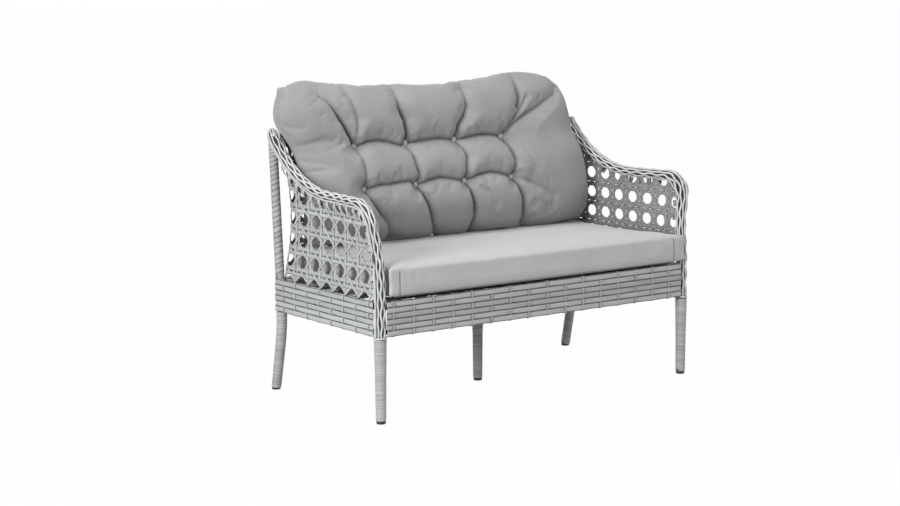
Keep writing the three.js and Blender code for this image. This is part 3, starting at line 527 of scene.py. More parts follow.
for (side, turned), head, loose in zip(BOTH_SIDES, (42, 7), ((0.3, 288, 826), (0.4, -270, 640))):
    strands = braid(*hoop_braid_line(head), 6, HEAD_POINTS, loose)
    make_piece(f"arm_braid_strands_{side}", turned(strands), strand_cane, [f"arm_braid_{side}"])

rail_x = np.arange(-LEG_X + 12, LEG_X - 11.9, 5)
rail_centre = np.insert(np.full((len(rail_x), 2), TOP_RAIL), 0, rail_x, axis=1)
make_piece("top_rail_strands", braid(rail_centre, UPWARDS, np.array([0.0, -1, 0]), 7),
           strand_cane, ["back_braid"])


def ring_of_strand(low, radius, turns):
    """A coil of round strand about a front leg: a helix that climbs one strand for each turn."""
    angle = np.linspace(0, 2 * np.pi * turns, int(30 * turns))
    spoke = np.stack([np.cos(angle), np.sin(angle), np.zeros_like(angle)], axis=1)
    centre = spoke * radius + (-LEG_X, FRONT_LEG_Y, low)
    centre[:, 2] += STRAND_R * angle / np.pi
    return lay_along(centre, spoke, ROUND)


collar = ring_of_strand(258.2, 18.8, 1.4)
for side, turned in BOTH_SIDES:
    make_piece(f"collar_{side}", turned([collar]), strand_cane, [f"leg_collar_{side}"])


# ---- Apron ----
# Six rows of 17 mm flat strip woven over and under upright stakes set every 70 to 74 mm. The
# stakes are hooked over the seat rail and turn under the lower rail, stapled on the inside.

strip_cane = cane_strip("strip_cane", "bcbfbe", "a0a3a2", 40.0)
APRON_BOTTOM = 266.0
ROW_HEIGHT = 17.4
ROWS = 6
APRON_TOP = APRON_BOTTOM + ROWS * ROW_HEIGHT
WEAVE = 1.15
MIDDLE = 2.3
# Width and thickness of a row, of the rim and of a stake
ROW_STRIP = (ROW_HEIGHT + 0.4, 1.9)
RIM_STRIP = (18.0, 1.2)
STAKE_STRIP = (10.5, 1.7)
FLAT = np.array([[-1, -0.3], [-0.84, -1], [0.84, -1], [1, -0.3], [1, 0.3], [0.84, 1],
                 [-0.84, 1], [-1, 0.3]]) / 2
# How a stake turns under the lower rail and over the seat rail: outwards and height
STAKE_FOOT = [[-15, 272], [-13, 267.2], [-8, 264.8], [-3, 264.2], [0.5, 264.6]]
STAKE_HEAD = [[0.5, 370.3], [-4, 370.6], [-10, 370.0], [-15, 367]]


def flat_strip(centre, outward, width, thick):
    """A flat strip along a line, its face turned to the direction outward."""
    return lay_along(centre, outward, FLAT * (width, thick))


def apron_weave(plan, outward, first, seed, pitch=70.0):
    """Rows and stakes of a woven wall over a line in plan.

    A row lies out or in by the cosine of its place over the stake pitch, turned by half a
    period from row to row; a stake does the opposite by its height over the row height."""
    length = length_along(plan)
    facing = np.column_stack([outward, np.zeros(len(plan))])
    random = np.random.default_rng(seed)
    strips = []
    for row in range(ROWS):
        reach = MIDDLE + WEAVE * np.cos(np.pi * ((length - first) / pitch + row))
        sway = 0.12 * np.sin(length / 90 + 6 * random.random())
        z = APRON_BOTTOM + (row + 0.5) * ROW_HEIGHT + sway
        centre = np.column_stack([plan + outward * reach[:, None], z])
        strips.append(flat_strip(centre, facing, *ROW_STRIP))
    rim = np.column_stack([plan - outward * 7.2, np.full_like(length, APRON_TOP - 2.2)])
    strips.append(flat_strip(rim, UPWARDS, *RIM_STRIP))
    face = np.arange(APRON_BOTTOM - 0.5, APRON_TOP, 2.5)
    for number, place in enumerate(np.arange(first, length[-1] - 6, pitch)):
        wave = np.cos(np.pi * ((face - APRON_BOTTOM) / ROW_HEIGHT - 0.5 + number))
        inner = np.column_stack([MIDDLE - WEAVE * wave, face])
        profile = np.concatenate([STAKE_FOOT, inner, STAKE_HEAD])
        out = unit(read_off(place, length, outward))
        centre = np.column_stack([read_off(place, length, plan) + out * profile[:, :1],
                                  profile[:, 1]])
        run = unit(np.gradient(profile, axis=0))
        strips.append(flat_strip(centre, np.column_stack([out * run[:, 1:], -run[:, 0]]),
                                 *STAKE_STRIP))
    return strips


SHELL_R = 13.2
CORNER_Y = post_y(355) + 1.1
WALL_STEP = 3.5
side_y = np.arange(FRONT_LEG_Y + 14, CORNER_Y, WALL_STEP)
turn = np.linspace(0, np.pi / 2, 9)[1:]
side_plan = np.concatenate([
    np.column_stack([np.full_like(side_y, -LEG_X - SHELL_R), side_y]),
    np.column_stack([-LEG_X - SHELL_R * np.cos(turn), CORNER_Y + SHELL_R * np.sin(turn)]),
])
side_out = np.concatenate([
    np.broadcast_to([-1.0, 0], (len(side_y), 2)),
    np.column_stack([-np.cos(turn), np.sin(turn)]),
])
side_weave = apron_weave(side_plan, side_out, 27.0, 3)
for side, turned in BOTH_SIDES:
    make_piece(f"apron_weave_{side}", turned(side_weave), strip_cane, [f"apron_{side}"])

# The front's rows climb a little towards the seat, and more so on the right
front_x = np.arange(-590, 590.1, WALL_STEP)
front_plan = np.column_stack([front_x, np.full_like(front_x, FRONT_LEG_Y - 12.8)])
front_out = np.broadcast_to([0.0, -1], front_plan.shape)
front_weave = []
for strip in apron_weave(front_plan, front_out, 23.5, 4, 73.5):
    height = (strip[..., 2:] - APRON_BOTTOM) / (APRON_TOP - APRON_BOTTOM)
    lift = np.clip(height, 0, 1) * (3.5 + strip[..., :1] / 236)
    front_weave.append(np.concatenate([strip[..., :2], strip[..., 2:] + lift], axis=2))
make_piece("apron_weave_front", front_weave, strip_cane, ["apron_front"])

back_x = np.arange(604, -604.1, -WALL_STEP)
back_plan = np.column_stack([back_x, np.full_like(back_x, CORNER_Y + SHELL_R)])
back_out = np.broadcast_to([0.0, 1], back_plan.shape)
make_piece("apron_weave_back", apron_weave(back_plan, back_out, 9.0, 5), strip_cane,
           ["apron_back"])


# ---- Cane nets ----
# Six-way cane: pairs of uprights and pairs of rows with a diagonal each way between them, so
# that the gaps are octagons. The net hangs from the arms and the top rail, rounds the back
# corners loosely like an hourglass, and its strips are gathered in threes into the apron.

NET_BOTTOM = 374.2
NET_TOP = 794.2
FIRST_ROW_LINE = 406.5
ROW_PITCH = 67.3
BACK_HALF = 462.0
BACK_COLUMNS = 13
COLUMN_PITCH = 2 * BACK_HALF / BACK_COLUMNS
CORNER_COLUMNS = 8
FIRST_COLUMN_Y = -202.0
WIDE_COLUMN = 1.2
NET_STEP = 4.5
STRIP_WIDTH = 14.0
SLANT_WIDTH = 10.5
STRIP_THICK = 1.2
PAIR_GAP = 2.0
PAIR_LAYER = 0.5
SLANT_LAYER = 1.3
# Half the width and the depth of the net at its foot, and its corner's radius and the growth of
# that radius to half height
FOOT_X, FOOT_Y = 613.0, 276.0
CORNER_LEAST, CORNER_MORE = 70.0, 52.0
# The clear opening of an arm: where its sweep starts and how far that reaches to the braid, and
# the middle and radius of its front corner
SWEEP_START = -42.0
SWEEP_REACH = SWEEP_R + BRAID_R
OPENING_Y, OPENING_Z, OPENING_R = -217.0, ARM_Z - CORNER_R, 63.0
FRONT_POST = HOOP_LINE[:160]


def lerp(a, b, t):
    return a + (b - a) * t


def rise(z):
    """0 at the foot of a net and 1 at its top."""
    return (z - NET_BOTTOM) / (NET_TOP - NET_BOTTOM)


def belly(z):
    """1 at half height and 0 at the foot and the top: the sine of the rise."""
    return np.sin(np.pi * np.clip(rise(z), 0, 1))


def net_x(z):
    return lerp(FOOT_X, LEG_X, rise(z)) - 7 * belly(z)


def net_y(z):
    return lerp(FOOT_Y, TOP_RAIL[0] - 2, rise(z))


def hoop_front(z):
    """The back of the front post's braid at a height."""
    height = np.minimum(z, ARM_Z - 80)
    return np.interp(height, FRONT_POST[:, 1], FRONT_POST[:, 0]) + BRAID_R


def side_net(column, z):
    """Column and height on a side net to a point: along the side, round the corner on a
    quarter circle whose radius is largest at half height, and on along the back."""
    radius = CORNER_LEAST + CORNER_MORE * belly(z)
    straight = net_y(z) - radius - FIRST_COLUMN_Y
    arc = radius * np.pi / 2
    rest = net_x(z) - radius - BACK_HALF
    spare = straight + arc + rest - CORNER_COLUMNS * COLUMN_PITCH
    distance = COLUMN_PITCH * column + spare * ease(column, 3, CORNER_COLUMNS)
    angle = np.clip((distance - straight) / radius, 0, np.pi / 2)
    beyond = np.maximum(distance - straight - arc, 0)
    x = -net_x(z) + radius * (1 - np.cos(angle)) + beyond
    y = net_y(z) - radius * (1 - np.sin(angle)) + np.minimum(distance - straight, 0)
    y = np.where(column < 0, lerp(FIRST_COLUMN_Y, hoop_front(z), -column / WIDE_COLUMN), y)
    return np.stack([x - spread(y, z), y, z], axis=-1)


def back_net(column, z):
    return np.stack([-BACK_HALF + column * COLUMN_PITCH, net_y(z), z], axis=-1)


def side_inside(column, z):
    """Whether a point of the side net lies under the arm's braid and behind the post's."""
    y = side_net(column, z)[..., 1]
    beyond = np.clip(y - SWEEP_START, 0, SWEEP_REACH - 1)
    top = np.minimum(NET_TOP, ARM_Z + SWEEP_R - np.sqrt(SWEEP_REACH ** 2 - beyond ** 2))
    away = np.hypot(np.minimum(y - OPENING_Y, 0), np.maximum(z - OPENING_Z, 0))
    open_here = (away < OPENING_R) | (z < OPENING_Z) | (y > OPENING_Y)
    return (z < top + 6) & (column > -WIDE_COLUMN - 0.1) & open_here


def back_inside(column, z):
    return (z < NET_TOP + 6) & (column > -1)


def half_on(column):
    """On the right side the columns stand half a column further back, less and less so from
    the fourth on, and not at all where the net meets the back."""
    return column + 0.5 * (1 - ease(column, 4.5, CORNER_COLUMNS))


def right_net(column, z):
    return side_net(half_on(column), z)


def right_inside(column, z):
    return side_inside(half_on(column), z)


def gather(z):
    """1 on the open net and falling to 0.22 where the strips are drawn into the apron."""
    return 0.22 + 0.78 * np.clip((z - NET_BOTTOM) / (FIRST_ROW_LINE - 8 - NET_BOTTOM), 0, 1)


def cane_net(place, inside, low, high):
    """The strips of a net between two columns.

    A strip is a line in columns and heights; its place comes from the net's surface, its
    width lies in that surface, and its layer is a cosine that puts it over one crossing and
    under the next. The falling diagonals are outside at the uprights, the rising ones at
    the rows."""
    offset = (STRIP_WIDTH + PAIR_GAP) / 2
    strips = []

    def lay(column, z, layer, width, share=None):
        column, z, layer = np.broadcast_arrays(column, z, layer)
        kept = inside(column, z) & (column >= low - 0.01) & (column <= high + 0.01)
        edges = np.flatnonzero(np.diff(np.concatenate([[0], kept, [0]])))
        for a, b in zip(edges[::2], edges[1::2]):
            if b - a < 4:
                continue
            c, h = column[a:b], z[a:b]
            centre = place(c, h)
            east = place(c + 0.02, h) - place(c - 0.02, h)
            north = place(c, h + 1) - place(c, h - 1)
            outward = unit(np.cross(north, east))
            grid = flat_strip(centre + outward * layer[a:b, None], outward, width, STRIP_THICK)
            if share is not None:
                middle = grid.mean(axis=1, keepdims=True)
                grid = middle + (grid - middle) * share[a:b, None, None]
            strips.append(grid)

    upright_z = np.arange(NET_BOTTOM - 5, NET_TOP + 8, NET_STEP)
    run = np.arange(low * COLUMN_PITCH, high * COLUMN_PITCH + NET_STEP, NET_STEP) / COLUMN_PITCH
    for line in range(math.ceil(low), math.floor(high) + 1):
        for hand in (-1, 1):
            wave = hand * PAIR_LAYER * np.cos(2 * np.pi * (upright_z - FIRST_ROW_LINE) / ROW_PITCH)
            aside = hand * offset * gather(upright_z) / COLUMN_PITCH
            lay(line + aside, upright_z, wave, STRIP_WIDTH, 0.45 + 0.55 * gather(upright_z))
    for row in np.arange(FIRST_ROW_LINE, NET_TOP, ROW_PITCH):
        for hand in (-1, 1):
            wave = -hand * PAIR_LAYER * np.cos(2 * np.pi * run)
            lay(run, row + hand * offset, wave, STRIP_WIDTH)
    height = NET_TOP + 10 - (NET_BOTTOM - 5)
    z = NET_BOTTOM - 5 + np.arange(0, height, NET_STEP * 0.75)
    across = (z - FIRST_ROW_LINE - ROW_PITCH / 2) / ROW_PITCH
    reach = math.ceil(height / ROW_PITCH) + 1
    for line in range(math.floor(low) - reach, math.ceil(high) + reach):
        for hand in (-1, 1):
            wave = -hand * SLANT_LAYER * np.cos(2 * np.pi * across)
            lay(line + hand * across, z, wave, SLANT_WIDTH)
    return strips


hoop_centre, hoop_across, hoop_up = hoop_braid_line(42)
hoop_along = unit(np.gradient(hoop_centre, axis=0))


def tie(k):
    """A strip end that leaves the net, bulges outwards and turns in under the braid: points
    (towards the net, outwards) from the middle of the tube, drifting by 10 along it."""
    bulge = np.array([[40, -2], [34, 5], [28, 9.5], [22, 11.5], [16.5, 10.5], [12, 7.5], [9, 4]])
    inward = -hoop_up[k] * np.sign(hoop_up[k] @ np.array([0, -0.35, 1.0]))
    drift = np.linspace(-5, 5, len(bulge))
    centre = (hoop_centre[k] + inward * bulge[:, :1] - hoop_across[k] * bulge[:, 1:]
              + hoop_along[k] * drift[:, None])
    run = unit(np.gradient(bulge, axis=0))
    return flat_strip(centre, hoop_across[k] * run[:, :1] + inward * run[:, 1:], 20.0, 1.6)


ties = [tie(int(k)) for k in np.arange(28, len(HOOP_LINE) / 2 - 14, 8.8)]
left_net = cane_net(side_net, side_inside, -WIDE_COLUMN, CORNER_COLUMNS) + ties
make_piece("cane_net_left", left_net, strip_cane, ["side_net_left"])
other_net = cane_net(right_net, right_inside, -WIDE_COLUMN - 0.5, CORNER_COLUMNS) + ties
make_piece("cane_net_right", mirrored(other_net), strip_cane, ["side_net_right"])
make_piece("cane_net_back", cane_net(back_net, back_inside, 0, BACK_COLUMNS), strip_cane,
           ["back_net"])


# ---- Deck ----
# Wide straps of the same cane woven flat over the seat rails, eleven from front to back and
# five across, which carry the seat cushion. Their ends are stapled to the rails.

DECK_Z = 368.4
run_y = np.arange(-306.0, 262.0, 5)
run_x = np.arange(-600.0, 600.0, 5)
strap_x = np.linspace(-550, 550, 11)
strap_y = np.linspace(-262, 222, 5)


def strap_wave(run, crossed, number):
    """Over and under the straps that are crossed: a cosine that turns round at each of them."""
    return 1.3 * np.cos(np.pi * ((run - crossed[0]) / (crossed[1] - crossed[0]) + number))


straps = []
for number, x in enumerate(strap_x):
    z = DECK_Z + strap_wave(run_y, strap_y, number)
    straps.append(flat_strip(np.column_stack([np.full_like(run_y, x), run_y, z]), UPWARDS, 48, 1.6))
for number, y in enumerate(strap_y):
    z = DECK_Z - strap_wave(run_x, strap_x, number)
    straps.append(flat_strip(np.column_stack([run_x, np.full_like(run_x, y), z]), UPWARDS, 58, 1.6))
make_piece("deck_straps", straps, strip_cane, ["seat_deck"])


# ---- Seat cushion ----
# A foam block 90 mm thick in a boxed cover of outdoor canvas, with plain sewn edges and a
# seam up the boxing near each front corner. Its front corners spread past the front posts. It
# lies loose on the deck.

def canvas(name, pale, dark, creased=0.0):
    """Plain-woven outdoor canvas: a fine two-way weave, soft cloudy tone and a little nap,
    soft creases where it is loosely filled, and painted shade deep in its folds and seams."""
    material, shade, apply = start_finish(name)
    place = shade.node("TexCoord", output=3)
    threads = []
    for axis in "XYZ":
        settings = {"wave_type": "BANDS", "bands_direction": axis}
        inputs = {"Vector": place, "Scale": 190.0, "Distortion": 1.2, "Detail": 1.0}
        threads.append(shade.node("TexWave", settings, inputs))
    weave = (threads[0] + threads[1] + threads[2]) * 0.333
    cloud = shade.noise(11, place, 5)
    slub = shade.noise(420, place, 2)
    crumple = shade.noise(19, place, 4)
    tone = (cloud * 0.6 + slub * 0.25 + weave * 0.15).between(0.3, 0.72)
    # painted shade: the fold attribute darkens points deep in folds and seams towards 3a3a39
    fold = shade.node("Attribute", {"attribute_name": "fold"}, output=2)
    apply(
        Base_Color=(fold * 0.75).blend(tone.blend(linear(dark), linear(pale)), linear("3a3a39")),
        Roughness=slub * 0.12 + 0.82,
        Sheen_Weight=0.25,
        Sheen_Roughness=0.5,
        Specular_IOR_Level=0.25,
        Normal=shade.relief(weave + slub + crumple * creased, 0.3, 0.0005),
    )
    return material


seat_canvas = canvas("seat_canvas", "bcbcbb", "b0b0af")
SEAT_HALF = 578.0
SEAT_FRONT = -340.0
SEAT_BACK = 242.0
SEAT_BOTTOM = 371.6
SEAT_THICK = 90.0
# How far the right and the left front corner stand out past the side, and the side behind them
FRONT_CORNERS = ((34, 12), (16, 0))
RING_POINTS = 480
SEAM_X = 548.0
SEAM_WIDTH = 2.4
SEAM_DEPTH = 2.5
FRONT_LIFT = 8.0


def own_mesh(name, grid, material, body, voxel):
    """A padded piece from a grid of rings, remeshed into even small squares."""
    piece = make_piece(name, [grid], material, [body], body)
    remesh = piece.modifiers.new("even", "REMESH")
    remesh.mode = "VOXEL"
    remesh.voxel_size = voxel * 0.001
    settle(piece)
    piece.data.materials.clear()
    piece.data.materials.append(material)
    return piece


def settle(piece):
    """Makes what the modifiers show the piece's own mesh."""
    graph = bpy.context.evaluated_depsgraph_get()
    shown = bpy.data.meshes.new_from_object(piece.evaluated_get(graph))
    piece.modifiers.clear()
    piece.data = shown
    piece.data.polygons.foreach_set("use_smooth", np.ones(len(shown.polygons), bool))


def points_of(piece):
    """The piece's points in millimetres of the sofa's own lines."""
    co = np.empty(len(piece.data.vertices) * 3, np.float32)
    piece.data.vertices.foreach_get("co", co)
    return co.reshape(-1, 3).astype(float) * 1000 - (0, Y_SHIFT, 0)


def set_points(piece, points):
    co = ((points + (0, Y_SHIFT, 0)) * 0.001).astype(np.float32)
    piece.data.vertices.foreach_set("co", co.ravel())
    piece.data.update()


def paint_fold_shade(piece, values):
    """Stores how deep in a fold or seam each point lies (0 to 1), which the canvas paints as shade.
    """
    fold = piece.data.attributes.new("fold", "FLOAT", "POINT")
    fold.data.foreach_set("value", np.asarray(values, np.float32))


def inflate(piece, pressure, cap, held, shrink=0.0):
    """Blows a closed cloth up for twenty frames, holding the points in held, then caps how far
    each point may have moved."""
    group = piece.vertex_groups.new(name="held")
    for weight in (0.25, 0.5, 1.0):
        group.add(np.flatnonzero(held > weight - 0.125).tolist(), weight, "REPLACE")
    before = points_of(piece)
    cloth = piece.modifiers.new("cloth", "CLOTH")
    settings = {
        "quality": 5, "mass": 0.3, "tension_stiffness": 15, "compression_stiffness": 15,
        "shear_stiffness": 5, "bending_stiffness": 0.5, "use_pressure": True,
        "uniform_pressure_force": pressure, "shrink_min": shrink, "vertex_group_mass": "held",
    }
    for key, value in settings.items():
        setattr(cloth.settings, key, value)
    cloth.settings.effector_weights.gravity = 0
    cloth.collision_settings.use_collision = False
    cloth.point_cache.frame_start = 1
    cloth.point_cache.frame_end = 20
    for number in range(1, 21):
        bpy.context.scene.frame_set(number)
    settle(piece)
    bpy.context.scene.frame_set(1)
    piece.vertex_groups.clear()
    moved = points_of(piece) - before
    reach = np.linalg.norm(moved, axis=1, keepdims=True)
    set_points(piece, before + moved * np.minimum(1, cap / np.maximum(reach, 1e-6)))


def refine(piece):
    """One subdivision, kept as the piece's own mesh."""
    subdivide = piece.modifiers.new("fine", "SUBSURF")
    subdivide.levels = subdivide.render_levels = 1
    settle(piece)


def seat_outline(inset):
    """Even points round the seat cushion at an inset from its widest line: straight sides,
    front corners that reach past the front posts, and round back corners."""
    nose, tail = SEAT_FRONT + inset, SEAT_BACK - inset
    waist = SEAT_HALF - inset
    neck = max(-330, nose + 12)
    bend = max(46 - inset, 4)
    sine, cosine = np.sin(np.linspace(0, np.pi / 2, 10)), np.cos(np.linspace(0, np.pi / 2, 10))
    halves = []
    for ear, bulge in FRONT_CORNERS:
        tip = waist + ear * max(0, 1 - inset / 40)
        side = waist + bulge
        halves.append(np.concatenate([
            [[0, nose]],
            np.column_stack([tip - 8 + 8 * sine, nose + 8 - 8 * cosine]),
            [[tip, neck - 3], [waist, neck + 4], [waist, max(-288, neck + 12)],
             [side, max(-262, neck + 38)]],
            np.column_stack([side - bend + bend * cosine, tail - bend + bend * sine]),
            [[0, tail]],
        ]))
    line = np.concatenate([halves[0], halves[1][-2::-1] * (-1, 1)])
    length = length_along(line)
    return read_off(np.arange(RING_POINTS) * length[-1] / RING_POINTS, length, line)


def seat_block(start):
    """Rings from the middle of the underside over the boxing to the middle of the top; the
    boxing draws in by 2.5 at half height and the top rises towards the middle."""
    side = np.array([
        [230, 0], [120, 0], [60, 0], [16, 3], [6, 6], [1.6, 8.6], [0, 13], [2.5, 45], [0, 76],
        [0.7, 83], [3, 88], [8, 90], [26, 91.2], [60, 93.85], [130, 96.2], [230, 97],
    ])
    rings = []
    for inset, height in side:
        plan = seat_outline(inset + start)
        z = SEAT_BOTTOM + start + height * (SEAT_THICK - 1.5 * start) / SEAT_THICK
        rings.append(np.column_stack([plan, np.full(len(plan), z)]))
    return np.stack(rings)


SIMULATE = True
START = 3.0 if SIMULATE else 0.0
seat = own_mesh("seat_cushion_cover", seat_block(START), seat_canvas, "seat_cushion", 6.0)
if SIMULATE:
    at = points_of(seat)
    underside = np.where(at[:, 2] < SEAT_BOTTOM + START + 1, 1.0, 0.0)
    inflate(seat, pressure=4.0, cap=8.0, held=underside)
refine(seat)
at = points_of(seat)
at[:, 2] = np.maximum(at[:, 2], SEAT_BOTTOM - 0.5)
x, y, z = at.T
seam = np.exp(-((np.abs(x) - SEAM_X) / SEAM_WIDTH) ** 2) * (y < SEAT_FRONT + 25)
seam *= (z > SEAT_BOTTOM + 5) & (z < SEAT_BOTTOM + 84)
y += SEAM_DEPTH * seam
z += FRONT_LIFT * ease(z, 410, 460) * ease(-y, 60, 320)
set_points(seat, at)
# painted shade along the seams
paint_fold_shade(seat, seam * 0.8)


# ---- Back cushion ----
# A loose pillow of soft fibre in the same canvas, drawn in by two rows of four buttons whose
# threads pass through to buttons behind. Folds run between the buttons and out to the edges.

# painted shade: the seat's canvas in darker colours, standing for the shade on the upright pillow
back_canvas_shaded_copy = canvas("back_canvas_shaded_copy", "989897", "898988", 14.0)
BACK_BOTTOM = 467.0
BACK_TOP = 986.0
FRONT_SECTION = np.array([
    [467, 178], [505, 120], [560, 86], [650, 92], [720, 112], [785, 150], [860, 162], [930, 188],
    [986, 258],
])
REAR_SECTION = np.array([
    [467, 205], [505, 244], [560, 249], [650, 253], [720, 259], [785, 270], [860, 290], [930, 302],
    [986, 274],
])
BUTTON_ROWS = (785.0, 652.0)
BUTTON_X = (-367.0, -165.0, 33.0, 228.0)


def through(knots, z):
    """A smooth curve through knots (z, y): a cubic on each span with the slopes of the chords
    round its ends."""
    slopes = np.gradient(knots[:, 1], knots[:, 0])
    k = np.clip(np.searchsorted(knots[:, 0], z) - 1, 0, len(knots) - 2)
    span = knots[k + 1, 0] - knots[k, 0]
    t = np.clip((z - knots[k, 0]) / span, 0, 1)
    a, b = 3 * t ** 2 - 2 * t ** 3, t ** 3 - t ** 2
    return (knots[k, 1] * (1 - a) + knots[k + 1, 1] * a
            + slopes[k] * span * (b - t ** 2 + t) + slopes[k + 1] * span * b)


# Folds as depth, reach to each side, and points (x, z)
FOLDS = [
    (40, 62, [(-367, 785), (-388, 823), (-409, 863), (-436, 903), (-458, 932), (-483, 949)]),
    (20, 34, [(-367, 785), (-360, 847), (-359, 878), (-368, 914), (-372, 950), (-388, 986)]),
    (36, 58, [(-367, 785), (-317, 800), (-274, 801), (-232, 793), (-192, 780), (-165, 785)]),
    (38, 58, [(-165, 785), (-167, 821), (-172, 861), (-188, 898), (-190, 930), (-182, 974)]),
    (36, 58, [(-165, 785), (-122, 790), (-77, 793), (-32, 794), (33, 785)]),
    (34, 56, [(33, 785), (41, 832), (67, 860), (81, 888), (83, 930), (93, 963)]),
    (36, 58, [(33, 785), (88, 792), (135, 797), (181, 794), (228, 785)]),
    (30, 46, [(228, 785), (254, 824), (286, 856), (314, 885), (334, 914)]),
    (28, 60, [(228, 785), (273, 827), (324, 855), (376, 876), (430, 902), (469, 917)]),
    (34, 48, [(294, 879), (304, 906), (306, 935), (311, 962), (314, 983)]),
    (24, 48, [(-367, 785), (-361, 752), (-363, 721), (-365, 694), (-367, 652)]),
    (28, 50, [(-165, 785), (-163, 747), (-163, 712), (-157, 683), (-165, 652)]),
    (30, 50, [(33, 785), (45, 756), (49, 731), (36, 699), (33, 652)]),
    (30, 50, [(228, 785), (235, 748), (242, 711), (238, 686), (228, 652)]),
    (14, 24, [(228, 785), (249, 766), (256, 744)]),
    (34, 54, [(-367, 652), (-316, 664), (-273, 663), (-229, 667), (-193, 668), (-165, 652)]),
    (34, 54, [(-165, 652), (-119, 666), (-73, 672), (-28, 665), (33, 652)]),
    (34, 54, [(33, 652), (83, 670), (130, 676), (171, 670), (228, 652)]),
    (30, 50, [(-367, 652), (-353, 617), (-320, 571), (-290, 542), (-261, 487)]),
    (34, 54, [(-165, 652), (-144, 611), (-127, 573), (-105, 525), (-61, 469)]),
    (34, 54, [(33, 652), (43, 619), (51, 585), (58, 546), (59, 510), (76, 473)]),
    (12, 30, [(33, 652), (72, 633), (115, 608), (138, 572)]),
    (32, 54, [(228, 652), (244, 619), (255, 588), (263, 545), (277, 498), (308, 463)]),
    (20, 50, [(228, 652), (280, 639), (333, 613), (384, 579)]),
    (9, 26, [(-640, 876), (-615, 863), (-560, 852)]),
    (9, 34, [(-630, 802), (-569, 800), (-509, 814), (-460, 811)]),
    (9, 30, [(-620, 757), (-567, 752), (-514, 742), (-463, 722)]),
    (7, 26, [(-605, 719), (-560, 720), (-496, 724), (-443, 721)]),
    (5, 20, [(-575, 972), (-560, 960), (-535, 952)]),
]
# A fold's points, how far and from where its open end fades, and the width of its crease
FOLD_STEP = 3.0
FADE_OUT, FADE_FROM = 0.45, 0.35
CREASE = 7.0
DEEPEST = 40.0
BUTTONS = [(x, z) for z in BUTTON_ROWS for x in BUTTON_X]


def fold_field(x, z):
    """How far the cloth is drawn in by the folds, and how near the nearest one lies (1 to 0).

    Beside a fold the cloth bulges like a quarter circle: depth * (1 - sqrt(1 - (1 - d) ** 2)),
    where d is the distance over the reach. The depth falls towards a fold's open end."""
    pull, near = np.zeros(len(x)), np.zeros(len(x))
    for depth, reach, points in FOLDS:
        line = np.array(points, float)
        length = length_along(line)
        at = np.arange(0, length[-1] + 1, FOLD_STEP)
        cx, cz = read_off(at, length, line).T
        close = np.flatnonzero((x > cx.min() - reach) & (x < cx.max() + reach)
                               & (z > cz.min() - reach) & (z < cz.max() + reach))
        away = np.hypot(x[close, None] - cx, z[close, None] - cz)
        which = away.argmin(axis=1)
        d = np.minimum(away[np.arange(len(close)), which] / reach, 1)
        open_end = points[-1] not in BUTTONS
        fade = 1 - open_end * FADE_OUT * ease(at[which] / length[-1], FADE_FROM, 1)
        round_in = (1 - np.sqrt(1 - (1 - d) ** 2)) * fade
        pull[close] = np.maximum(pull[close], depth * round_in)
        crease = depth / DEEPEST * fade * np.exp(-(d * reach / CREASE) ** 2)
        near[close] = np.maximum(near[close], crease)
    return pull, near


def button_pull(x, z, depth, reach):
    """A round dimple about each button: depth * exp(-(distance / reach) squared)."""
    away = np.min([np.hypot(x - a, z - b) for a, b in BUTTONS], axis=0)
    return depth * np.exp(-(away / reach) ** 2)


# Depth and reach of the dimples in front and behind
FRONT_DIMPLE = (42, 30)
REAR_DIMPLE = (15, 50)
# The pillow's outline: (z, x) up its left and right ends and (x, lift) along its top edge
LEFT_END = np.array([[467, -574], [700, -576], [770, -584], [850, -628], [986, -632]])
RIGHT_END = np.array([[467, 585], [577, 577], [734, 565], [821, 549], [908, 530], [986, 508]])
TOP_EDGE = np.array([
    [-640, 4], [-523, 24], [-403, 11], [-186, -1], [-49, -4], [103, 0], [286, 16], [416, 20],
    [560, 12],
])


def pillow(start):
    """Rings round the pillow from one end to the other. Across (-1 to 1) and up (0 to 1) give
    x and z between the ends, drawn in at the corners. The front and rear stand off the seam by
    the section times the root of 1 - |across| to the 7th."""
    spread_out = np.pi / 2 * 0.985
    across = np.sin(np.linspace(-1, 1, 260) * spread_out) / np.sin(spread_out)
    up = (1 - np.cos(np.linspace(0, np.pi, 120))) / 2
    ups = np.concatenate([up, up[::-1]])
    front = np.arange(len(ups)) < len(up)
    a, u = np.meshgrid(across * 0.995, ups, indexing="ij")
    z0 = BACK_BOTTOM + start + (BACK_TOP - BACK_BOTTOM - 2 * start) * u
    left, right = through(LEFT_END, z0), through(RIGHT_END, z0)
    corner = (np.abs(a) * np.abs(2 * u - 1)) ** 5
    tuck = np.where(u < 0.5, 0.03, np.where(a < 0, 0.03, 0.07))
    drop = np.where(u < 0.5, 0.04, np.where(a < 0, 0.03, 0.075))
    x = (left + right) / 2 + a * ((right - left) / 2 - start) * (1 - tuck * corner)
    z = z0 + ((BACK_BOTTOM + BACK_TOP) / 2 - z0) * drop * corner + through(TOP_EDGE, x) * u ** 3
    face, rear = through(FRONT_SECTION, z0), through(REAR_SECTION, z0)
    middle = (face + rear) / 2
    plump = np.sqrt(1 - np.abs(a) ** 7)
    flat_x, flat_z = x.ravel(), z.ravel()
    folds = fold_field(flat_x, flat_z)[0]
    pull = np.maximum(button_pull(flat_x, flat_z, *FRONT_DIMPLE), folds).reshape(x.shape)
    front_y = middle + (face + start + pull - middle) * plump
    rear_y = middle + (rear - start - button_pull(x, z, *REAR_DIMPLE) - middle) * plump
    return np.stack([x, np.where(front[None, :], front_y, rear_y), z], axis=2)


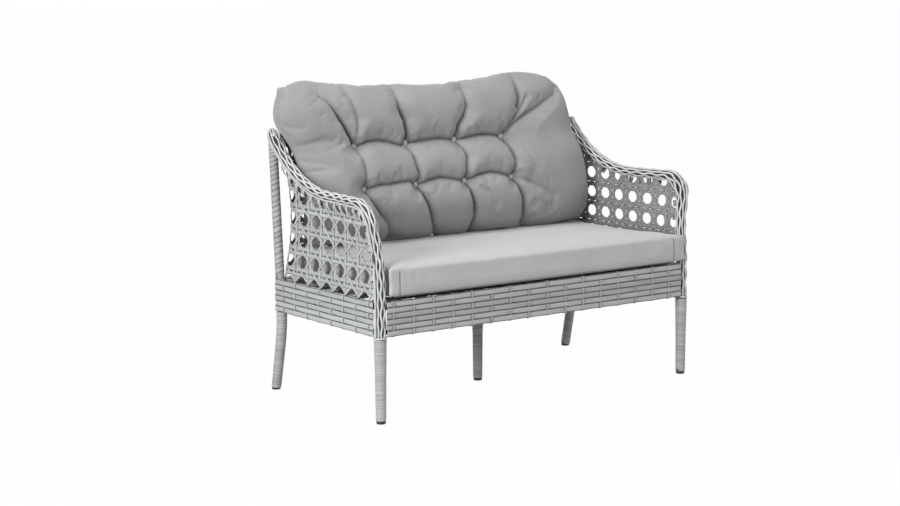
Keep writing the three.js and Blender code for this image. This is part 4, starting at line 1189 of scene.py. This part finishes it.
def facing_front(points):
    """1 on the front of the pillow, 0 on the rear and an even change between them."""
    middle = through(REAR_SECTION, np.clip(points[:, 2], BACK_BOTTOM, BACK_TOP)) - 55
    return np.clip((middle - points[:, 1]) / 30, 0, 1)


def nearness(points):
    """How near each point of the pillow's front lies to a fold, 1 to 0."""
    return fold_field(points[:, 0], points[:, 2])[1] * facing_front(points)


FOLD_PINCH = 8.0
back = own_mesh("back_cushion_cover", pillow(4.0 if SIMULATE else 0.0), back_canvas_shaded_copy,
                "back_cushion", 5.5)
if SIMULATE:
    at = points_of(back)
    held = np.maximum(nearness(at), button_pull(at[:, 0], at[:, 2], 1.0, 14))
    inflate(back, pressure=3.0, cap=14.0, held=held, shrink=-0.02)
refine(back)
at = points_of(back)
in_fold = nearness(at)
at[:, 1] += FOLD_PINCH * in_fold
set_points(back, at)
# painted shade in the folds
paint_fold_shade(back, np.clip(1.5 * in_fold ** 2.5, 0, 1))


# ---- Buttons ----
# Canvas-covered domes 20 mm across, eight in front and eight behind, drawn together in pairs by
# thread through the pillow.

DOME_PROFILE = np.array([[5, 7], [3.2, 9.4], [1.6, 10], [0, 9.7], [-1.6, 8.2], [-2.8, 5.6],
                         [-3.4, 2.6], [-3.5, 0.4]])


def dome(x, y, z, facing):
    """A covered button: rings whose radius and height follow a low dome with a rolled rim."""
    depth, radius = DOME_PROFILE.T[..., None]
    angle = np.arange(24) * np.pi / 12
    rings = (x + radius * np.cos(angle), y + facing * depth, z + radius * np.sin(angle))
    grid = np.stack(np.broadcast_arrays(*rings), axis=2)
    return grid if facing < 0 else grid[:, ::-1]


cover = points_of(back)
BUTTON_RISE = 2.5
button_canvas = canvas("button_canvas", "b9b9b8", "ababaa")
for face, facing in (("front", 1), ("rear", -1)):
    on_face = (facing_front(cover) > 0.5) == (facing > 0)
    for row, z in enumerate(BUTTON_ROWS, start=1):
        for place, x in enumerate(BUTTON_X, start=1):
            near = on_face & (np.hypot(cover[:, 0] - x, cover[:, 2] - z) < 9)
            y = np.percentile(cover[near, 1] * facing, 25) * facing - BUTTON_RISE * facing
            make_piece(f"covered_button_{face}_{row}_{place}", [dome(x, y, z, facing)],
                       button_canvas, [f"button_{face}_{row}_{place}"],
                       "back_cushion")


# ---- Studio ----
# A pale floor and backdrop, broad soft light from above and the left, and a camera at the
# height and angle from which such a sofa is shown.

def seen_or_gloss(tree):
    """1 for what the camera sees straight on or in a gloss, and 0 for all other light."""
    path = tree.nodes.new("ShaderNodeLightPath")
    seen, gloss = (Shade(tree, path.outputs[f"Is {ray} Ray"]) for ray in ("Camera", "Glossy"))
    return seen.maths("MAXIMUM", seen, gloss)


def studio_floor():
    """Pale matt floor; the camera sees it close to white, with the sofa's soft shadow."""
    material = bpy.data.materials.new("studio_floor")
    material.use_nodes = True
    tree = material.node_tree
    tree.nodes.clear()
    shade = Shade(tree)
    matt = shade.node("BsdfDiffuse", {}, {"Color": (0.5, 0.5, 0.5, 1)})
    white = shade.node("Emission", {}, {"Strength": 1.0})
    mixed = shade.node("MixShader", {}, {0: seen_or_gloss(tree) * 0.985, 1: matt, 2: white})
    end = tree.nodes.new("ShaderNodeOutputMaterial")
    tree.links.new(mixed.socket, end.inputs["Surface"])
    return material


REACH = 40.0
floor_mesh = bpy.data.meshes.new("studio_floor")
corners = [(-REACH, -REACH, 0), (REACH, -REACH, 0), (REACH, REACH, 0), (-REACH, REACH, 0)]
floor_mesh.from_pydata(corners, [], [(0, 1, 2, 3)])
floor_mesh.materials.append(studio_floor())
floor = bpy.data.objects.new("studio_floor", floor_mesh)
bpy.context.scene.collection.objects.link(floor)

world = bpy.data.worlds.new("studio")
bpy.context.scene.world = world
world.use_nodes = True
sky = world.node_tree
background = sky.nodes["Background"]
background.inputs["Color"].default_value = (1, 1, 1, 1)
level = seen_or_gloss(sky) * 0.8 + 0.2
sky.links.new(level.socket, background.inputs["Strength"])


def softbox(name, place, aim, size, power):
    """A square area lamp turned to a point."""
    lamp = bpy.data.lights.new(name, "AREA")
    lamp.size = size
    lamp.energy = power
    holder = bpy.data.objects.new(name, lamp)
    bpy.context.scene.collection.objects.link(holder)
    holder.location = place
    away = Vector(place) - Vector(aim)
    holder.rotation_euler = away.to_track_quat("Z", "Y").to_euler()


softbox("overhead", (-0.4, -0.2, 3.5), (0, 0, 0.4), 2.2, 64)
softbox("left", (-3.8, -1.4, 1.7), (0, 0, 0.5), 1.8, 136)
softbox("front", (1.9, -3.3, 2.4), (0.2, 0, 0.4), 1.6, 47)
softbox("behind", (1.2, 4.2, 2.4), (0, 0, 0.5), 1.8, 40)

camera = bpy.data.cameras.new("camera")
camera.sensor_width = 36.0
camera.lens = 80.2744
holder = bpy.data.objects.new("camera", camera)
bpy.context.scene.collection.objects.link(holder)
bpy.context.scene.camera = holder
YAW, PITCH, ROLL = (math.radians(a) for a in (-35.805, -8.547, -0.3065))
holder.location = (-3.887, -5.216 + Y_SHIFT * 0.001, 1.406)
holder.rotation_mode = "XYZ"
holder.rotation_euler = (math.pi / 2 + PITCH, 0, YAW)
bpy.context.view_layer.update()
roll = holder.rotation_euler.to_matrix() @ Matrix.Rotation(ROLL, 3, "Z")
holder.rotation_euler = roll.to_euler()
bpy.context.scene.view_settings.view_transform = "Standard"
